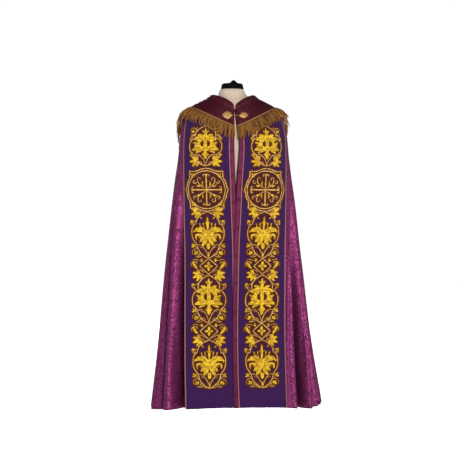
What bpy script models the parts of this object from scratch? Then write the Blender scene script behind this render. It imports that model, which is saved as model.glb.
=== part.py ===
"""A cope vestment, clasped at the breast, worn by a limbless dress form on a weighted foot.

Units are metres and +Z is up. The garment's front faces -Y, so +X is its own left side, and the
origin is on the floor at the centre of the form's foot.

The cope hangs in level rings. Each ring is a superellipse set by one row of COPE_SECTIONS, and it is
read by its length from the centre front: a hem strip, a braid, the orphrey, a second braid, and then
the damask, whose pipe folds grow towards the hem. What is sewn on a panel is made from the panel's
own points, moved out.
"""

import math
from collections import namedtuple

import bmesh
import bpy
import numpy as np
from mathutils import Matrix, Vector
from mathutils.bvhtree import BVHTree

# Cloth, and how pieces lie on each other
CLOTH_WALL = 0.0020
ORPHREY_WALL = 0.0012
BRAID_WALL = 0.0018
SEAM_GAP = 0.0003
LAY_GAP = 0.0005
SEAT_GAP = 0.0006

# The bands along each front edge, from the edge outwards
EDGE_STRIP = 0.021
BRAID_WIDTH = 0.005
ORPHREY_WIDTH = 0.218
ORPHREY_SHARES = (0.0, 0.24, 0.46, 0.65, 0.80, 0.92, 1.0)
BAND_WIDTH = EDGE_STRIP + 2 * BRAID_WIDTH + ORPHREY_WIDTH
BAND_SHARE_AT_NECK = 0.60
LAP_REACH = 0.085

# Pipe folds of the damask
FOLD_DEPTH = 0.040
CELLS_PER_HALF_FOLD = 4

# Hood
HOOD_EDGE_FRONT = 1.320
HOOD_EDGE_SIDE = 1.415
HOOD_EDGE_BACK = 1.010
HOOD_SHIELD_POWER = 4.0
HOOD_FRONT_GAP = 0.0035
HOOD_SEAM_DROP = 0.005
HOOD_SEAM_OUT = 0.0012
HOOD_HALF_COLUMNS = 22
HOOD_FALL_ROWS = 9
HOOD_ROW_POWER = 1.3
HOOD_EVEN_AT_CREST = 0.4

# Bullion fringe: a heading that lies on the hood's edge, and strands below it
FRINGE_HEADING = 0.006
FRINGE_LENGTH = 0.058
FRINGE_WALL = 0.0026
FRINGE_OVERHANG = 0.001
FRINGE_GAP = 0.0011
STRANDS_PER_COLUMN = 4
STRAND_NECK = 0.006
STRAND_FILL = 0.80
STRAND_TIP_FILL = 0.60
STRAND_SWAY = 0.0006

# Clasp
CLASP_POINTS = 24
CLASP_LOBE = 0.16
PLATE_PROFILE = ((1.0, 0.0), (1.0, 0.0015), (0.84, 0.0026), (0.50, 0.0040))
HOOK_RADIUS = 0.0011

# Dress form
FORM_COLUMNS = 28
CAP_CENTRE_X = -0.0060
CAP_PROFILE = ((0.0, 0.0000), (0.0510, 0.0000), (0.0490, 0.0220), (0.0450, 0.0265), (0.0, 0.0275))
KNOB_CENTRE_X = 0.0
KNOB_PROFILE = ((0.0, 0.0), (0.0240, 0.0), (0.0170, 0.0040), (0.0090, 0.0120), (0.0040, 0.0155), (0.0, 0.0160))
POLE_RADIUS = 0.016
FOOT_PROFILE = ((0.0, 0.0), (0.172, 0.0), (0.175, 0.003), (0.170, 0.010), (0.045, 0.014), (0.030, 0.050), (0.0, 0.050))
TURNED_STEPS = 32

Section = namedtuple("Section", "name front_z side_z back_z half_width centre_x front_y back_y square vee")
Hang = namedtuple("Hang", "edge drift lap fold")
Fold = namedtuple("Fold", "ridge_at ridge_out valley_at valley_in")
Plate = namedtuple("Plate", "name side centre_x centre_z half_width half_height tilt")

# Outer face of the cope. square is the superellipse's power and vee the power of the front's dip.
COPE_SECTIONS = (
    #       name            front_z side_z  back_z  half_w  centre_x front_y  back_y  square vee
    Section("neckline",     1.4000, 1.4640, 1.4650, 0.0890, -0.0045, -0.0965, 0.0800, 2.00, 0.65),
    Section("yoke",         1.3820, 1.4520, 1.4490, 0.1200, -0.0045, -0.1045, 0.0960, 2.00, 0.75),
    Section("shoulder",     1.3630, 1.4370, 1.4280, 0.1530, -0.0045, -0.1120, 0.1110, 2.00, 0.90),
    Section("shoulder_tip", 1.3380, 1.4140, 1.3950, 0.1950, -0.0040, -0.1180, 0.1290, 2.10, 1.10),
    Section("arm_top",      1.3100, 1.3850, 1.3620, 0.2300, -0.0030, -0.1225, 0.1400, 2.15, 1.30),
    Section("upper_arm",    1.2800, 1.3350, 1.3200, 0.2470, -0.0020, -0.1265, 0.1480, 2.20, 1.50),
    Section("breast",       1.2400, 1.2700, 1.2600, 0.2535, 0.0000, -0.1310, 0.1560, 2.30, 1.80),
    Section("ribs",         1.1750, 1.1850, 1.1850, 0.2600, 0.0000, -0.1370, 0.1640, 2.30, 2.00),
    Section("waist",        1.0600, 1.0600, 1.0600, 0.2722, 0.0000, -0.1465, 0.1780, 2.40, 2.00),
    Section("hip",          0.9300, 0.9300, 0.9300, 0.2825, 0.0005, -0.1560, 0.1930, 2.50, 2.00),
    Section("thigh",        0.7700, 0.7700, 0.7700, 0.2936, 0.0012, -0.1658, 0.2126, 2.60, 2.00),
    Section("knee",         0.5800, 0.5800, 0.5800, 0.3078, 0.0032, -0.1768, 0.2354, 2.70, 2.00),
    Section("calf",         0.3900, 0.3900, 0.3900, 0.3238, 0.0062, -0.1870, 0.2575, 2.80, 2.00),
    Section("ankle",        0.2050, 0.1950, 0.2000, 0.3426, 0.0102, -0.1968, 0.2780, 2.95, 2.00),
    Section("hem",          0.0340, 0.0100, 0.0180, 0.3622, 0.0130, -0.2060, 0.2950, 3.00, 2.00),
)

# How each ring of the cope hangs: half the gap between the front edges (below 0, the fronts lap), how
# far the gap's middle lies from the ring's own, how far the upper front lies over the lower, and the
# share of the full fold depth.
COPE_HANG = {
    #                    edge     drift    lap     fold
    "neckline":     Hang(0.0035, 0.0000, 0.0000, 0.00),
    "yoke":         Hang(0.0035, 0.0000, 0.0000, 0.00),
    "shoulder":     Hang(0.0035, 0.0000, 0.0000, 0.00),
    "shoulder_tip": Hang(0.0040, 0.0005, 0.0000, 0.00),
    "arm_top":      Hang(0.0060, 0.0010, 0.0000, 0.00),
    "upper_arm":    Hang(0.0080, 0.0015, 0.0000, 0.00),
    "breast":       Hang(0.0105, 0.0010, 0.0000, 0.00),
    "ribs":         Hang(0.0090, 0.0000, 0.0000, 0.03),
    "waist":        Hang(0.0030, -0.0025, 0.0010, 0.12),
    "hip":          Hang(-0.0020, -0.0050, 0.0045, 0.28),
    "thigh":        Hang(-0.0090, -0.0080, 0.0055, 0.46),
    "knee":         Hang(-0.0125, -0.0120, 0.0055, 0.64),
    "calf":         Hang(-0.0145, -0.0170, 0.0055, 0.78),
    "ankle":        Hang(-0.0145, -0.0200, 0.0055, 0.90),
    "hem":          Hang(-0.0140, -0.0190, 0.0055, 1.00),
}
FIRST_BAND_SECTION = "shoulder"

# Pipe folds, by share of the damask's way from the orphrey to the centre back, in shares of FOLD_DEPTH
FOLDS = {
    -1: (
        #    ridge_at ridge_out valley_at valley_in
        Fold(0.085, 0.80, 0.024, 0.85),
        Fold(0.222, 1.00, 0.150, 0.80),
        Fold(0.362, 0.95, 0.292, 1.05),
        Fold(0.505, 1.05, 0.435, 0.90),
        Fold(0.650, 0.90, 0.578, 1.05),
        Fold(0.795, 1.05, 0.722, 0.95),
    ),
    1: (
        Fold(0.036, 0.45, 0.006, -0.10),
        Fold(0.128, 0.85, 0.078, 1.05),
        Fold(0.192, 1.00, 0.158, -0.60),
        Fold(0.315, 1.00, 0.250, 0.85),
        Fold(0.455, 0.90, 0.385, 1.05),
        Fold(0.595, 1.05, 0.525, 0.95),
        Fold(0.735, 0.95, 0.665, 0.90),
        Fold(0.868, 0.80, 0.802, 0.85),
    ),
}
LAST_VALLEY = {-1: (0.890, 0.85), 1: (0.935, 0.55)}
CENTRE_BACK_OUT = 0.75
SEAM_VALLEY = {-1: 2, 1: 4}

# The hood's rolled crest, on its face side
HOOD_CREST = (
    #       name        front_z side_z  back_z  half_w  centre_x front_y  back_y  square vee
    Section("crest",    1.4110, 1.4765, 1.4760, 0.0945, -0.0045, -0.1035, 0.0865, 2.00, 0.55),
    Section("turn",     1.4070, 1.4755, 1.4745, 0.1010, -0.0045, -0.1085, 0.0930, 2.00, 0.55),
)

# How far the hood's face side stands off the cope's rings, before folds, below the crest
HOOD_STAND_OFF = {
    "yoke": 0.0080,
    "shoulder": 0.0070,
    "shoulder_tip": 0.0080,
    "arm_top": 0.0110,
    "upper_arm": 0.0118,
    "breast": 0.0100,
    "ribs": 0.0080,
    "waist": 0.0100,
    "hip": 0.0165,
}

# Outer face of the dress form, before it is raised to carry the cope
FORM_SECTIONS = (
    #       name          front_z side_z  back_z  half_w  centre_x front_y  back_y  square vee
    Section("underside",  0.8000, 0.8000, 0.8000, 0.1500, 0.0000, -0.0980, 0.0960, 2.20, 2.0),
    Section("hip_low",    0.8120, 0.8120, 0.8120, 0.1620, 0.0000, -0.1080, 0.1080, 2.20, 2.0),
    Section("hip",        0.9000, 0.9000, 0.9000, 0.1700, 0.0000, -0.1160, 0.1160, 2.20, 2.0),
    Section("waist_low",  1.0000, 1.0000, 1.0000, 0.1580, 0.0000, -0.1080, 0.1020, 2.20, 2.0),
    Section("waist",      1.0800, 1.0800, 1.0800, 0.1500, 0.0000, -0.1030, 0.0920, 2.20, 2.0),
    Section("ribs",       1.1800, 1.1800, 1.1800, 0.1660, 0.0000, -0.1090, 0.1040, 2.20, 2.0),
    Section("chest",      1.2600, 1.2800, 1.2700, 0.1860, -0.0010, -0.1120, 0.1130, 2.20, 2.0),
    Section("armhole",    1.3200, 1.3640, 1.3470, 0.1960, -0.0030, -0.1080, 0.1140, 2.15, 1.6),
    Section("tip",        1.3450, 1.4070, 1.3920, 0.1860, -0.0040, -0.1020, 0.1090, 2.10, 1.4),
    Section("shoulder",   1.3720, 1.4350, 1.4240, 0.1480, -0.0045, -0.0940, 0.0940, 2.00, 1.3),
    Section("neck_base",  1.4050, 1.4565, 1.4560, 0.0940, -0.0050, -0.0800, 0.0740, 2.00, 1.2),
    Section("neck_low",   1.4380, 1.4690, 1.4690, 0.0720, -0.0040, -0.0690, 0.0630, 2.00, 1.5),
    Section("neck",       1.4720, 1.4800, 1.4800, 0.0640, -0.0060, -0.0620, 0.0590, 2.00, 2.0),
    Section("neck_round", 1.4965, 1.4965, 1.4965, 0.0580, -0.0080, -0.0580, 0.0570, 2.00, 2.0),
    Section("neck_top",   1.5025, 1.5025, 1.5025, 0.0525, -0.0070, -0.0520, 0.0520, 2.00, 2.0),
)

# The clasp's plates as they lie on the hood's front
PLATES = (
    #     name                 side centre_x centre_z half_w  half_h  tilt
    Plate("clasp_plate_right", -1, -0.0410, 1.3740, 0.0250, 0.0210, 0.0),
    Plate("clasp_plate_left", 1, 0.0345, 1.3745, 0.0235, 0.0160, 8.0),
)

# Finishes: base colour, roughness, metallic
FINISHES = {
    "damask": ((0.240, 0.030, 0.170), 0.45, 0.0),
    "hood_damask": ((0.110, 0.010, 0.060), 0.55, 0.0),
    "orphrey_violet": ((0.060, 0.018, 0.120), 0.80, 0.0),
    "braid": ((0.420, 0.180, 0.170), 0.60, 0.0),
    "gold_fringe": ((0.330, 0.190, 0.050), 0.45, 0.2),
    "gilt_clasp": ((0.620, 0.420, 0.140), 0.30, 1.0),
    "form_cover": ((0.720, 0.640, 0.540), 0.90, 0.0),
    "form_black": ((0.012, 0.010, 0.010), 0.35, 0.0),
    "steel": ((0.550, 0.550, 0.560), 0.30, 1.0),
    "foot_white": ((0.800, 0.800, 0.790), 0.45, 0.0),
}


def clear_scene():
    """Removes whatever the opened file holds."""
    for thing in list(bpy.data.objects):
        bpy.data.objects.remove(thing)


def finish(name):
    """The Principled material of that finish, made once."""
    known = bpy.data.materials.get(name)
    if known:
        return known
    colour, roughness, metallic = FINISHES[name]
    material = bpy.data.materials.new(name)
    material.use_nodes = True
    shader = material.node_tree.nodes["Principled BSDF"]
    shader.inputs["Base Color"].default_value = (*colour, 1.0)
    shader.inputs["Roughness"].default_value = roughness
    shader.inputs["Metallic"].default_value = metallic
    return material


def add_object(name, mesh, finish_name, collection):
    """Links a mesh as a named object with its finish."""
    mesh.materials.append(finish(finish_name))
    thing = bpy.data.objects.new(name, mesh)
    collection.objects.link(thing)
    return thing


# ---------------------------------------------------------------------------
# Rings and grids
# ---------------------------------------------------------------------------


def ring_points(section, turn):
    """Points of a ring about its own middle. turn is the angle from the centre front, towards +X."""
    sine, cosine = np.sin(turn), np.cos(turn)
    power = 2 / section.square
    x = section.half_width * np.sign(sine) * np.abs(sine) ** power
    y = np.where(cosine > 0, section.front_y, section.back_y) * np.abs(cosine) ** power
    dip = 1 - np.abs(sine) ** section.vee
    front = section.side_z + (section.front_z - section.side_z) * dip
    back = section.side_z + (section.back_z - section.side_z) * cosine**2
    return np.stack([x, y, np.where(cosine > 0, front, back)], axis=-1)


def placed_point(section, turn, side):
    """One point of a ring in its place, on the -X or the +X half."""
    return ring_points(section, np.array(turn)) * (side, 1, 1) + (section.centre_x, 0, 0)


def joined_halves(right, left):
    """One grid from the -X front edge round the back to the +X one."""
    return np.concatenate([right, left[:, -2::-1]], axis=1)


def lengths_along(points):
    """Length from the first point to each point of a line."""
    steps = np.linalg.norm(np.diff(points, axis=0), axis=1)
    return np.concatenate([[0.0], np.cumsum(steps)])


def at_lengths(points, along, wanted):
    """Points of a line at the wanted lengths, by straight steps between its own points."""
    return np.stack([np.interp(wanted, along, points[:, k]) for k in range(3)], axis=-1)


def curved_at(points, along, wanted):
    """Points of a line at the wanted lengths, by cubic steps that pass smoothly through its own points."""
    slope = np.gradient(points, along, axis=0)
    step = np.clip(np.searchsorted(along, wanted, side="right") - 1, 0, len(along) - 2)
    span = (along[step + 1] - along[step])[:, None]
    part = (wanted - along[step])[:, None] / span
    turned_back = (1 - part) ** 2
    return (
        points[step] * turned_back * (1 + 2 * part)
        + slope[step] * span * turned_back * part
        + points[step + 1] * part**2 * (3 - 2 * part)
        + slope[step + 1] * span * part**2 * (part - 1)
    )


def mean_steps(grid, axis):
    """Mean unit step before and after each point of a grid, along one of its axes."""
    steps = np.diff(grid, axis=axis)
    steps /= np.linalg.norm(steps, axis=2, keepdims=True)
    first, last = np.take(steps, [0], axis), np.take(steps, [-1], axis)
    return np.concatenate([first, steps], axis) + np.concatenate([steps, last], axis)


def grid_normals(grid):
    """Unit normals of a grid of points, on the outer side of rings read from -X round the back."""
    normal = np.cross(mean_steps(grid, 1), mean_steps(grid, 0))
    return normal / np.linalg.norm(normal, axis=2, keepdims=True)


def drawn_in(grid, by):
    """The grid with its first and last columns drawn in by that length, for the gap at a seam."""
    grid = grid.copy()
    for edge, inner in ((0, 1), (-1, -2)):
        step = grid[:, inner] - grid[:, edge]
        grid[:, edge] += by * step / np.linalg.norm(step, axis=1, keepdims=True)
    return grid


def grid_mesh(name, grid):
    """An open surface through a grid of points, facing the side of grid_normals."""
    rows, columns = grid.shape[:2]
    corner = np.arange(rows * columns).reshape(rows, columns)
    faces = np.stack([corner[:-1, :-1], corner[:-1, 1:], corner[1:, 1:], corner[1:, :-1]], axis=-1)
    mesh = bpy.data.meshes.new(name)
    mesh.from_pydata(grid.reshape(-1, 3).tolist(), [], faces.reshape(-1, 4).tolist())
    mesh.shade_smooth()
    return mesh


def cloth_piece(name, grid, wall, finish_name, collection):
    """A piece of cloth whose face side is the grid, with its wall behind it."""
    piece = add_object(name, grid_mesh(name, grid), finish_name, collection)
    shell = piece.modifiers.new("wall", "SOLIDIFY")
    shell.thickness = wall
    shell.offset = -1
    shell.use_even_offset = True
    return piece


# ---------------------------------------------------------------------------
# The cope
# ---------------------------------------------------------------------------


def band_offsets():
    """Lengths from the front edge to each column of the strip, the braids and the orphrey."""
    first_braid = EDGE_STRIP
    orphrey = first_braid + BRAID_WIDTH
    second_braid = orphrey + ORPHREY_WIDTH
    across = orphrey + np.array(ORPHREY_SHARES) * ORPHREY_WIDTH
    return np.concatenate([[0.0, first_braid], across, [second_braid + BRAID_WIDTH]])


def fold_turns(side):
    """Where the damask's folds turn, and how far out, from the orphrey to the centre back."""
    turns = [(0.0, 0.0)]
    for fold in FOLDS[side]:
        turns += [(fold.valley_at, -fold.valley_in), (fold.ridge_at, fold.ridge_out)]
    last_at, last_in = LAST_VALLEY[side]
    return turns + [(last_at, -last_in), (1.0, CENTRE_BACK_OUT)]


def fold_columns(side):
    """Shares of the damask's way for its columns, and the fold's reach at each, as half cosines."""
    shares, reach = [], []
    turns = fold_turns(side)
    for (start, start_out), (end, end_out) in zip(turns, turns[1:]):
        cells = CELLS_PER_HALF_FOLD if end - start > 0.03 else 1
        for cell in range(1, cells + 1):
            part = cell / cells
            eased = (1 - math.cos(math.pi * part)) / 2
            shares.append(start + (end - start) * part)
            reach.append(start_out + (end_out - start_out) * eased)
    return np.array(shares), np.array(reach)


def cope_half(side):
    """Grid of one half of the cope's outer face, from the front edge to the centre back."""
    turn = np.linspace(-0.4, math.pi, 1500)
    offsets = band_offsets()
    shares, reach = fold_columns(side)
    rows = []
    for section in COPE_SECTIONS:
        hang = COPE_HANG[section.name]
        line = ring_points(section, turn)
        along = lengths_along(line)
        along -= np.interp(0.0, turn, along)
        half_round = along[-1]
        squeeze = min(1.0, BAND_SHARE_AT_NECK * half_round / BAND_WIDTH)
        start = hang.edge + side * hang.drift
        band = start + offsets * squeeze
        wanted = np.concatenate([band, band[-1] + shares * (half_round - band[-1])])
        points = at_lengths(line, along, wanted)
        ahead = at_lengths(line, along, wanted + 1e-4)
        behind = at_lengths(line, along, wanted - 1e-4)
        out = np.stack([(ahead - behind)[:, 1], -(ahead - behind)[:, 0]], axis=-1)
        out /= np.maximum(np.linalg.norm(out, axis=1, keepdims=True), 1e-12)
        move = np.concatenate([np.zeros(len(band)), FOLD_DEPTH * hang.fold * reach])
        if side > 0:
            near_edge = np.clip(1 - (wanted - start) / LAP_REACH, 0, 1)
            move = move + hang.lap * near_edge * near_edge * (3 - 2 * near_edge)
        points[:, :2] += out * move[:, None]
        points[:, 0] = section.centre_x + side * points[:, 0]
        rows.append(points)
    return np.array(rows)


def cope_grid():
    """Grid of the whole cope's outer face, from its right front edge (-X) round the back to its left."""
    return joined_halves(cope_half(-1), cope_half(1))


def seam_column(side):
    """Column of the half's seam, at the bottom of one of its folds' valleys."""
    shares, _ = fold_columns(side)
    valley = FOLDS[side][SEAM_VALLEY[side]].valley_at
    return len(band_offsets()) + int(np.argmin(np.abs(shares - valley)))


def build_cope(collection):
    """The three damask panels, with the orphreys and braids on the two fronts."""
    grid = cope_grid()
    normals = grid_normals(grid)
    last = grid.shape[1] - 1
    right_seam, left_seam = seam_column(-1), last - seam_column(1)
    panels = (
        ("cope_front_right", 0, right_seam),
        ("cope_back", right_seam, left_seam),
        ("cope_front_left", left_seam, last),
    )
    for name, first, end in panels:
        piece = drawn_in(grid[:, first : end + 1], SEAM_GAP)
        cloth_piece(name, piece, CLOTH_WALL, "damask", collection)

    top = [section.name for section in COPE_SECTIONS].index(FIRST_BAND_SECTION)
    orphrey_end = 1 + len(ORPHREY_SHARES)
    inner_braid, outer_braid = (1, 2), (orphrey_end, orphrey_end + 1)
    band_end = outer_braid[1]
    for side_name, mirrored in (("right", False), ("left", True)):
        columns = slice(last - band_end, last + 1) if mirrored else slice(0, band_end + 1)
        band = grid[top:, columns]
        band_normals = grid_normals(band)
        sewn_on = (
            (f"orphrey_{side_name}", (2, orphrey_end), ORPHREY_WALL, "orphrey_violet"),
            (f"braid_inner_{side_name}", inner_braid, BRAID_WALL, "braid"),
            (f"braid_outer_{side_name}", outer_braid, BRAID_WALL, "braid"),
        )
        for name, (first, end), wall, finish_name in sewn_on:
            if mirrored:
                first, end = band_end - end, band_end - first
            face = (band + band_normals * (SEAM_GAP + wall))[:, first : end + 1]
            cloth_piece(name, drawn_in(face, SEAM_GAP / 2), wall, finish_name, collection)
    return grid, normals


# ---------------------------------------------------------------------------
# The hood and its fringe
# ---------------------------------------------------------------------------


def hood_edge_height(turn):
    """Height of the hood's edge at an angle from the centre front: a vee before, a round shield behind."""
    sine = abs(math.sin(turn))
    if turn < math.pi / 2:
        return HOOD_EDGE_FRONT + (HOOD_EDGE_SIDE - HOOD_EDGE_FRONT) * sine
    return HOOD_EDGE_BACK + (HOOD_EDGE_SIDE - HOOD_EDGE_BACK) * sine**HOOD_SHIELD_POWER


def from_front_gap(section, turn):
    """The turn moved round so that turn 0 lies at the hood's front edge, half a gap from the centre."""
    start = math.asin((HOOD_FRONT_GAP / section.half_width) ** (section.square / 2))
    return start + (math.pi - start) * turn / math.pi


def over_ring(row, turn, side, out):
    """A point over one ring of the cope before its folds, moved out along the surface's normal."""
    upper, section, lower = COPE_SECTIONS[row - 1 : row + 2]
    angle = from_front_gap(section, turn)
    spot = placed_point(section, angle, side)
    across = placed_point(section, angle + 0.01, side) - placed_point(section, angle - 0.01, side)
    down = placed_point(lower, from_front_gap(lower, turn), side)
    down = down - placed_point(upper, from_front_gap(upper, turn), side)
    normal = np.cross(across, down) * -side
    return spot + normal / np.linalg.norm(normal) * out


def hood_line(turn, side):
    """The hood's face side from its crest down at one turn, and the length along it to the edge."""
    line = [placed_point(section, from_front_gap(section, turn), side) for section in HOOD_CREST]
    for row, section in enumerate(COPE_SECTIONS):
        if section.name in HOOD_STAND_OFF:
            line.append(over_ring(row, turn, side, HOOD_STAND_OFF[section.name]))
    line = np.array(line)
    along = lengths_along(line)
    edge = float(np.interp(-hood_edge_height(turn), -line[1:, 2], along[1:]))
    return line, along, edge


def hood_point(turn, side, past_edge, out):
    """A point at a length past the hood's edge and a height over its face."""
    step = 0.002
    beside = []
    for nearby in (max(turn - step, 0.0), min(turn + step, math.pi)):
        line, along, edge = hood_line(nearby, side)
        beside.append(curved_at(line, along, np.array([edge + past_edge]))[0])
    line, along, edge = hood_line(turn, side)
    spot, below = curved_at(line, along, np.array([edge + past_edge, edge + past_edge + step]))
    normal = np.cross(beside[1] - beside[0], below - spot) * -side
    return spot + normal / np.linalg.norm(normal) * out


def neckline_point(turn, side, drop, out):
    """A point over the cope's outer face, a length below its neckline on the line at one turn."""
    upper, lower = COPE_SECTIONS[0], COPE_SECTIONS[1]
    angle = from_front_gap(upper, turn)
    top = placed_point(upper, angle, side)
    down = placed_point(lower, angle, side) - top
    down /= np.linalg.norm(down)
    normal = np.cross(placed_point(upper, angle + 0.01, side) - top, down) * -side
    return top + down * drop + normal / np.linalg.norm(normal) * out


def edge_turns(side):
    """Turns of the hood's columns, which share its edge into equal lengths."""
    fine = np.linspace(0.0, math.pi, 600)
    edge_line = []
    for turn in fine:
        line, along, edge = hood_line(turn, side)
        edge_line.append(curved_at(line, along, np.array([edge]))[0])
    along = lengths_along(np.array(edge_line))
    return np.interp(np.linspace(0, along[-1], HOOD_HALF_COLUMNS + 1), along, fine)


def hood_grid():
    """The hood's face side: its seam on the neckline, the stand, the rolled crest and the fall.

    The columns come to the edge at even lengths along it, and leave the crest nearer to even turns.
    """
    shares = np.linspace(0, 1, HOOD_FALL_ROWS) ** HOOD_ROW_POWER
    halves = []
    for side in (-1, 1):
        at_edge = edge_turns(side)
        at_crest = at_edge + (np.linspace(0.0, math.pi, len(at_edge)) - at_edge) * HOOD_EVEN_AT_CREST
        columns = []
        for first, last in zip(at_crest, at_edge):
            crest, _, _ = hood_line(first, side)
            column = [neckline_point(first, side, drop, HOOD_SEAM_OUT) for drop in (HOOD_SEAM_DROP, 0.0)]
            column.append(crest[0])
            for share in shares:
                line, along, edge = hood_line(first + (last - first) * share, side)
                fall = along[1] + share * (edge - FRINGE_HEADING - along[1])
                column.append(curved_at(line, along, np.array([fall]))[0])
            line, along, edge = hood_line(last, side)
            column.append(curved_at(line, along, np.array([edge]))[0])
            columns.append(column)
        halves.append(np.array(columns).transpose(1, 0, 2))
    return joined_halves(*halves)


def fringe_row(past_edge, out):
    """One line of points along the whole fringe, at a length past the hood's edge."""
    halves = []
    for side in (-1, 1):
        halves.append(np.array([[hood_point(turn, side, past_edge, out) for turn in edge_turns(side)]]))
    row = joined_halves(*halves)[0]
    columns = np.arange(len(row))
    strands = np.linspace(0, columns[-1], columns[-1] * STRANDS_PER_COLUMN + 1)
    return at_lengths(row, columns, strands)


def build_fringe(collection):
    """The fringe: a heading strip whose underside is drawn out into one strand for each cell."""
    outs = {"inner": FRINGE_GAP, "outer": FRINGE_GAP + FRINGE_WALL}
    levels = {
        "top": -FRINGE_HEADING,
        "root": FRINGE_OVERHANG,
        "neck": FRINGE_OVERHANG + STRAND_NECK,
        "tip": FRINGE_OVERHANG + FRINGE_LENGTH,
    }
    rows = {(level, face): fringe_row(past, out) for level, past in levels.items() for face, out in outs.items()}
    shape = bmesh.new()
    corners = (("top", "outer"), ("root", "outer"), ("root", "inner"), ("top", "inner"))
    strip = {corner: [shape.verts.new(point) for point in rows[corner]] for corner in corners}
    cells = len(rows["top", "outer"]) - 1
    for upper, lower in (corners[0:2], corners[2:4], (corners[3], corners[0])):
        for cell in range(cells):
            ends = strip[upper][cell], strip[lower][cell], strip[lower][cell + 1], strip[upper][cell + 1]
            shape.faces.new(ends)
    for cell in (0, cells):
        shape.faces.new([strip[corner][cell] for corner in corners])

    swing = np.random.default_rng(7).uniform(-STRAND_SWAY, STRAND_SWAY, (cells, 2))
    for cell in range(cells):
        picks = (("outer", cell), ("inner", cell), ("inner", cell + 1), ("outer", cell + 1))
        ring = [strip["root", face][column] for face, column in picks]
        for level, fill, sway in (("neck", STRAND_FILL, 0.0), ("tip", STRAND_TIP_FILL, 1.0)):
            places = np.array([rows[level, face][column] for face, column in picks])
            middle = places.mean(axis=0)
            places = middle + (places - middle) * fill
            places[:, :2] += swing[cell] * sway
            below = [shape.verts.new(place) for place in places]
            for k in range(4):
                shape.faces.new((ring[k], ring[k - 1], below[k - 1], below[k]))
            ring = below
        shape.faces.new(ring)
    bmesh.ops.recalc_face_normals(shape, faces=shape.faces)
    mesh = bpy.data.meshes.new("hood_fringe")
    shape.to_mesh(mesh)
    shape.free()
    add_object("hood_fringe", mesh, "gold_fringe", collection)


# ---------------------------------------------------------------------------
# The clasp
# ---------------------------------------------------------------------------


def plate_outline(plate):
    """Outline of a plate: a lozenge with drawn-out corners and four shallow lobes between them."""
    angle = np.linspace(0, 2 * math.pi, CLASP_POINTS, endpoint=False)
    lozenge = 1 / (np.abs(np.cos(angle)) + np.abs(np.sin(angle)))
    reach = lozenge * (1 + CLASP_LOBE * np.sin(2 * angle) ** 2)
    return reach * np.cos(angle) * plate.half_width, reach * np.sin(angle) * plate.half_height


def hood_spot(hood, x, z):
    """The point of the hood's face straight ahead at that x and height, and its normal."""
    place, normal, _, _ = hood.ray_cast(Vector((x, -1.0, z)), Vector((0, 1, 0)))
    return place, normal


def plate_seat(plate, hood):
    """Matrix of a plate that lies on the hood's front: its own Z points out of the cloth."""
    spot, _ = hood_spot(hood, plate.centre_x, plate.centre_z)
    left, _ = hood_spot(hood, plate.centre_x - 0.6 * plate.half_width, plate.centre_z)
    right, _ = hood_spot(hood, plate.centre_x + 0.6 * plate.half_width, plate.centre_z)
    above, _ = hood_spot(hood, plate.centre_x, plate.centre_z + 0.5 * plate.half_height)
    across = (right - left).normalized()
    up = above - spot
    up = (up - across * up.dot(across)).normalized()
    out = across.cross(up)
    seat = Matrix((across, up, out)).transposed().to_4x4()
    seat.translation = spot + out * 0.02
    seat = seat @ Matrix.Rotation(math.radians(plate.tilt), 4, "Z")
    x, y = plate_outline(plate)
    falls = []
    for scale in (1.0, 0.75, 0.5, 0.25, 0.0):
        for a, b in zip(x, y):
            hit = hood.ray_cast(seat @ Vector((a * scale, b * scale, 0)), -out)
            if hit[0] is not None:
                falls.append(hit[3])
    seat.translation -= out * (min(falls) - LAY_GAP)
    return seat


def plate_mesh(plate):
    """A plate as a stack of its outline, drawn in and raised by PLATE_PROFILE."""
    x, y = plate_outline(plate)
    shape = bmesh.new()
    rings = []
    for scale, rise in PLATE_PROFILE:
        rings.append([shape.verts.new((a * scale, b * scale, rise)) for a, b in zip(x, y)])
    for lower, upper in zip(rings, rings[1:]):
        for k in range(CLASP_POINTS):
            shape.faces.new((lower[k - 1], lower[k], upper[k], upper[k - 1]))
    shape.faces.new(rings[0])
    shape.faces.new(rings[-1])
    bmesh.ops.recalc_face_normals(shape, faces=shape.faces)
    mesh = bpy.data.meshes.new(plate.name)
    shape.to_mesh(mesh)
    shape.free()
    return mesh


def build_clasp(collection, hood_face):
    """Two domed plates on the hood's front edges, and the hook that holds them together."""
    hood = BVHTree.FromPolygons(*mesh_lists(grid_mesh("clasp_test", hood_face)))
    ends = []
    for plate in PLATES:
        piece = add_object(plate.name, plate_mesh(plate), "gilt_clasp", collection)
        piece.matrix_world = plate_seat(plate, hood)
        lift = PLATE_PROFILE[2][1] + HOOK_RADIUS + SEAM_GAP
        for share in (0.72, 0.94):
            corner = Vector((-plate.side * plate.half_width * share, 0, lift))
            ends.append(piece.matrix_world @ corner)
    inner_right, corner_right, inner_left, corner_left = ends
    curve = bpy.data.curves.new("clasp_hook", "CURVE")
    curve.dimensions = "3D"
    curve.bevel_depth = HOOK_RADIUS
    curve.bevel_resolution = 1
    curve.resolution_u = 1
    curve.use_fill_caps = True
    route = (corner_right, (corner_right + corner_left) / 2, corner_left)
    spline = curve.splines.new("POLY")
    spline.points.add(len(route) - 1)
    for point, place in zip(spline.points, route):
        point.co = (*place, 1)
    add_object("clasp_hook", curve, "gilt_clasp", collection)


# ---------------------------------------------------------------------------
# The dress form
# ---------------------------------------------------------------------------


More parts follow.
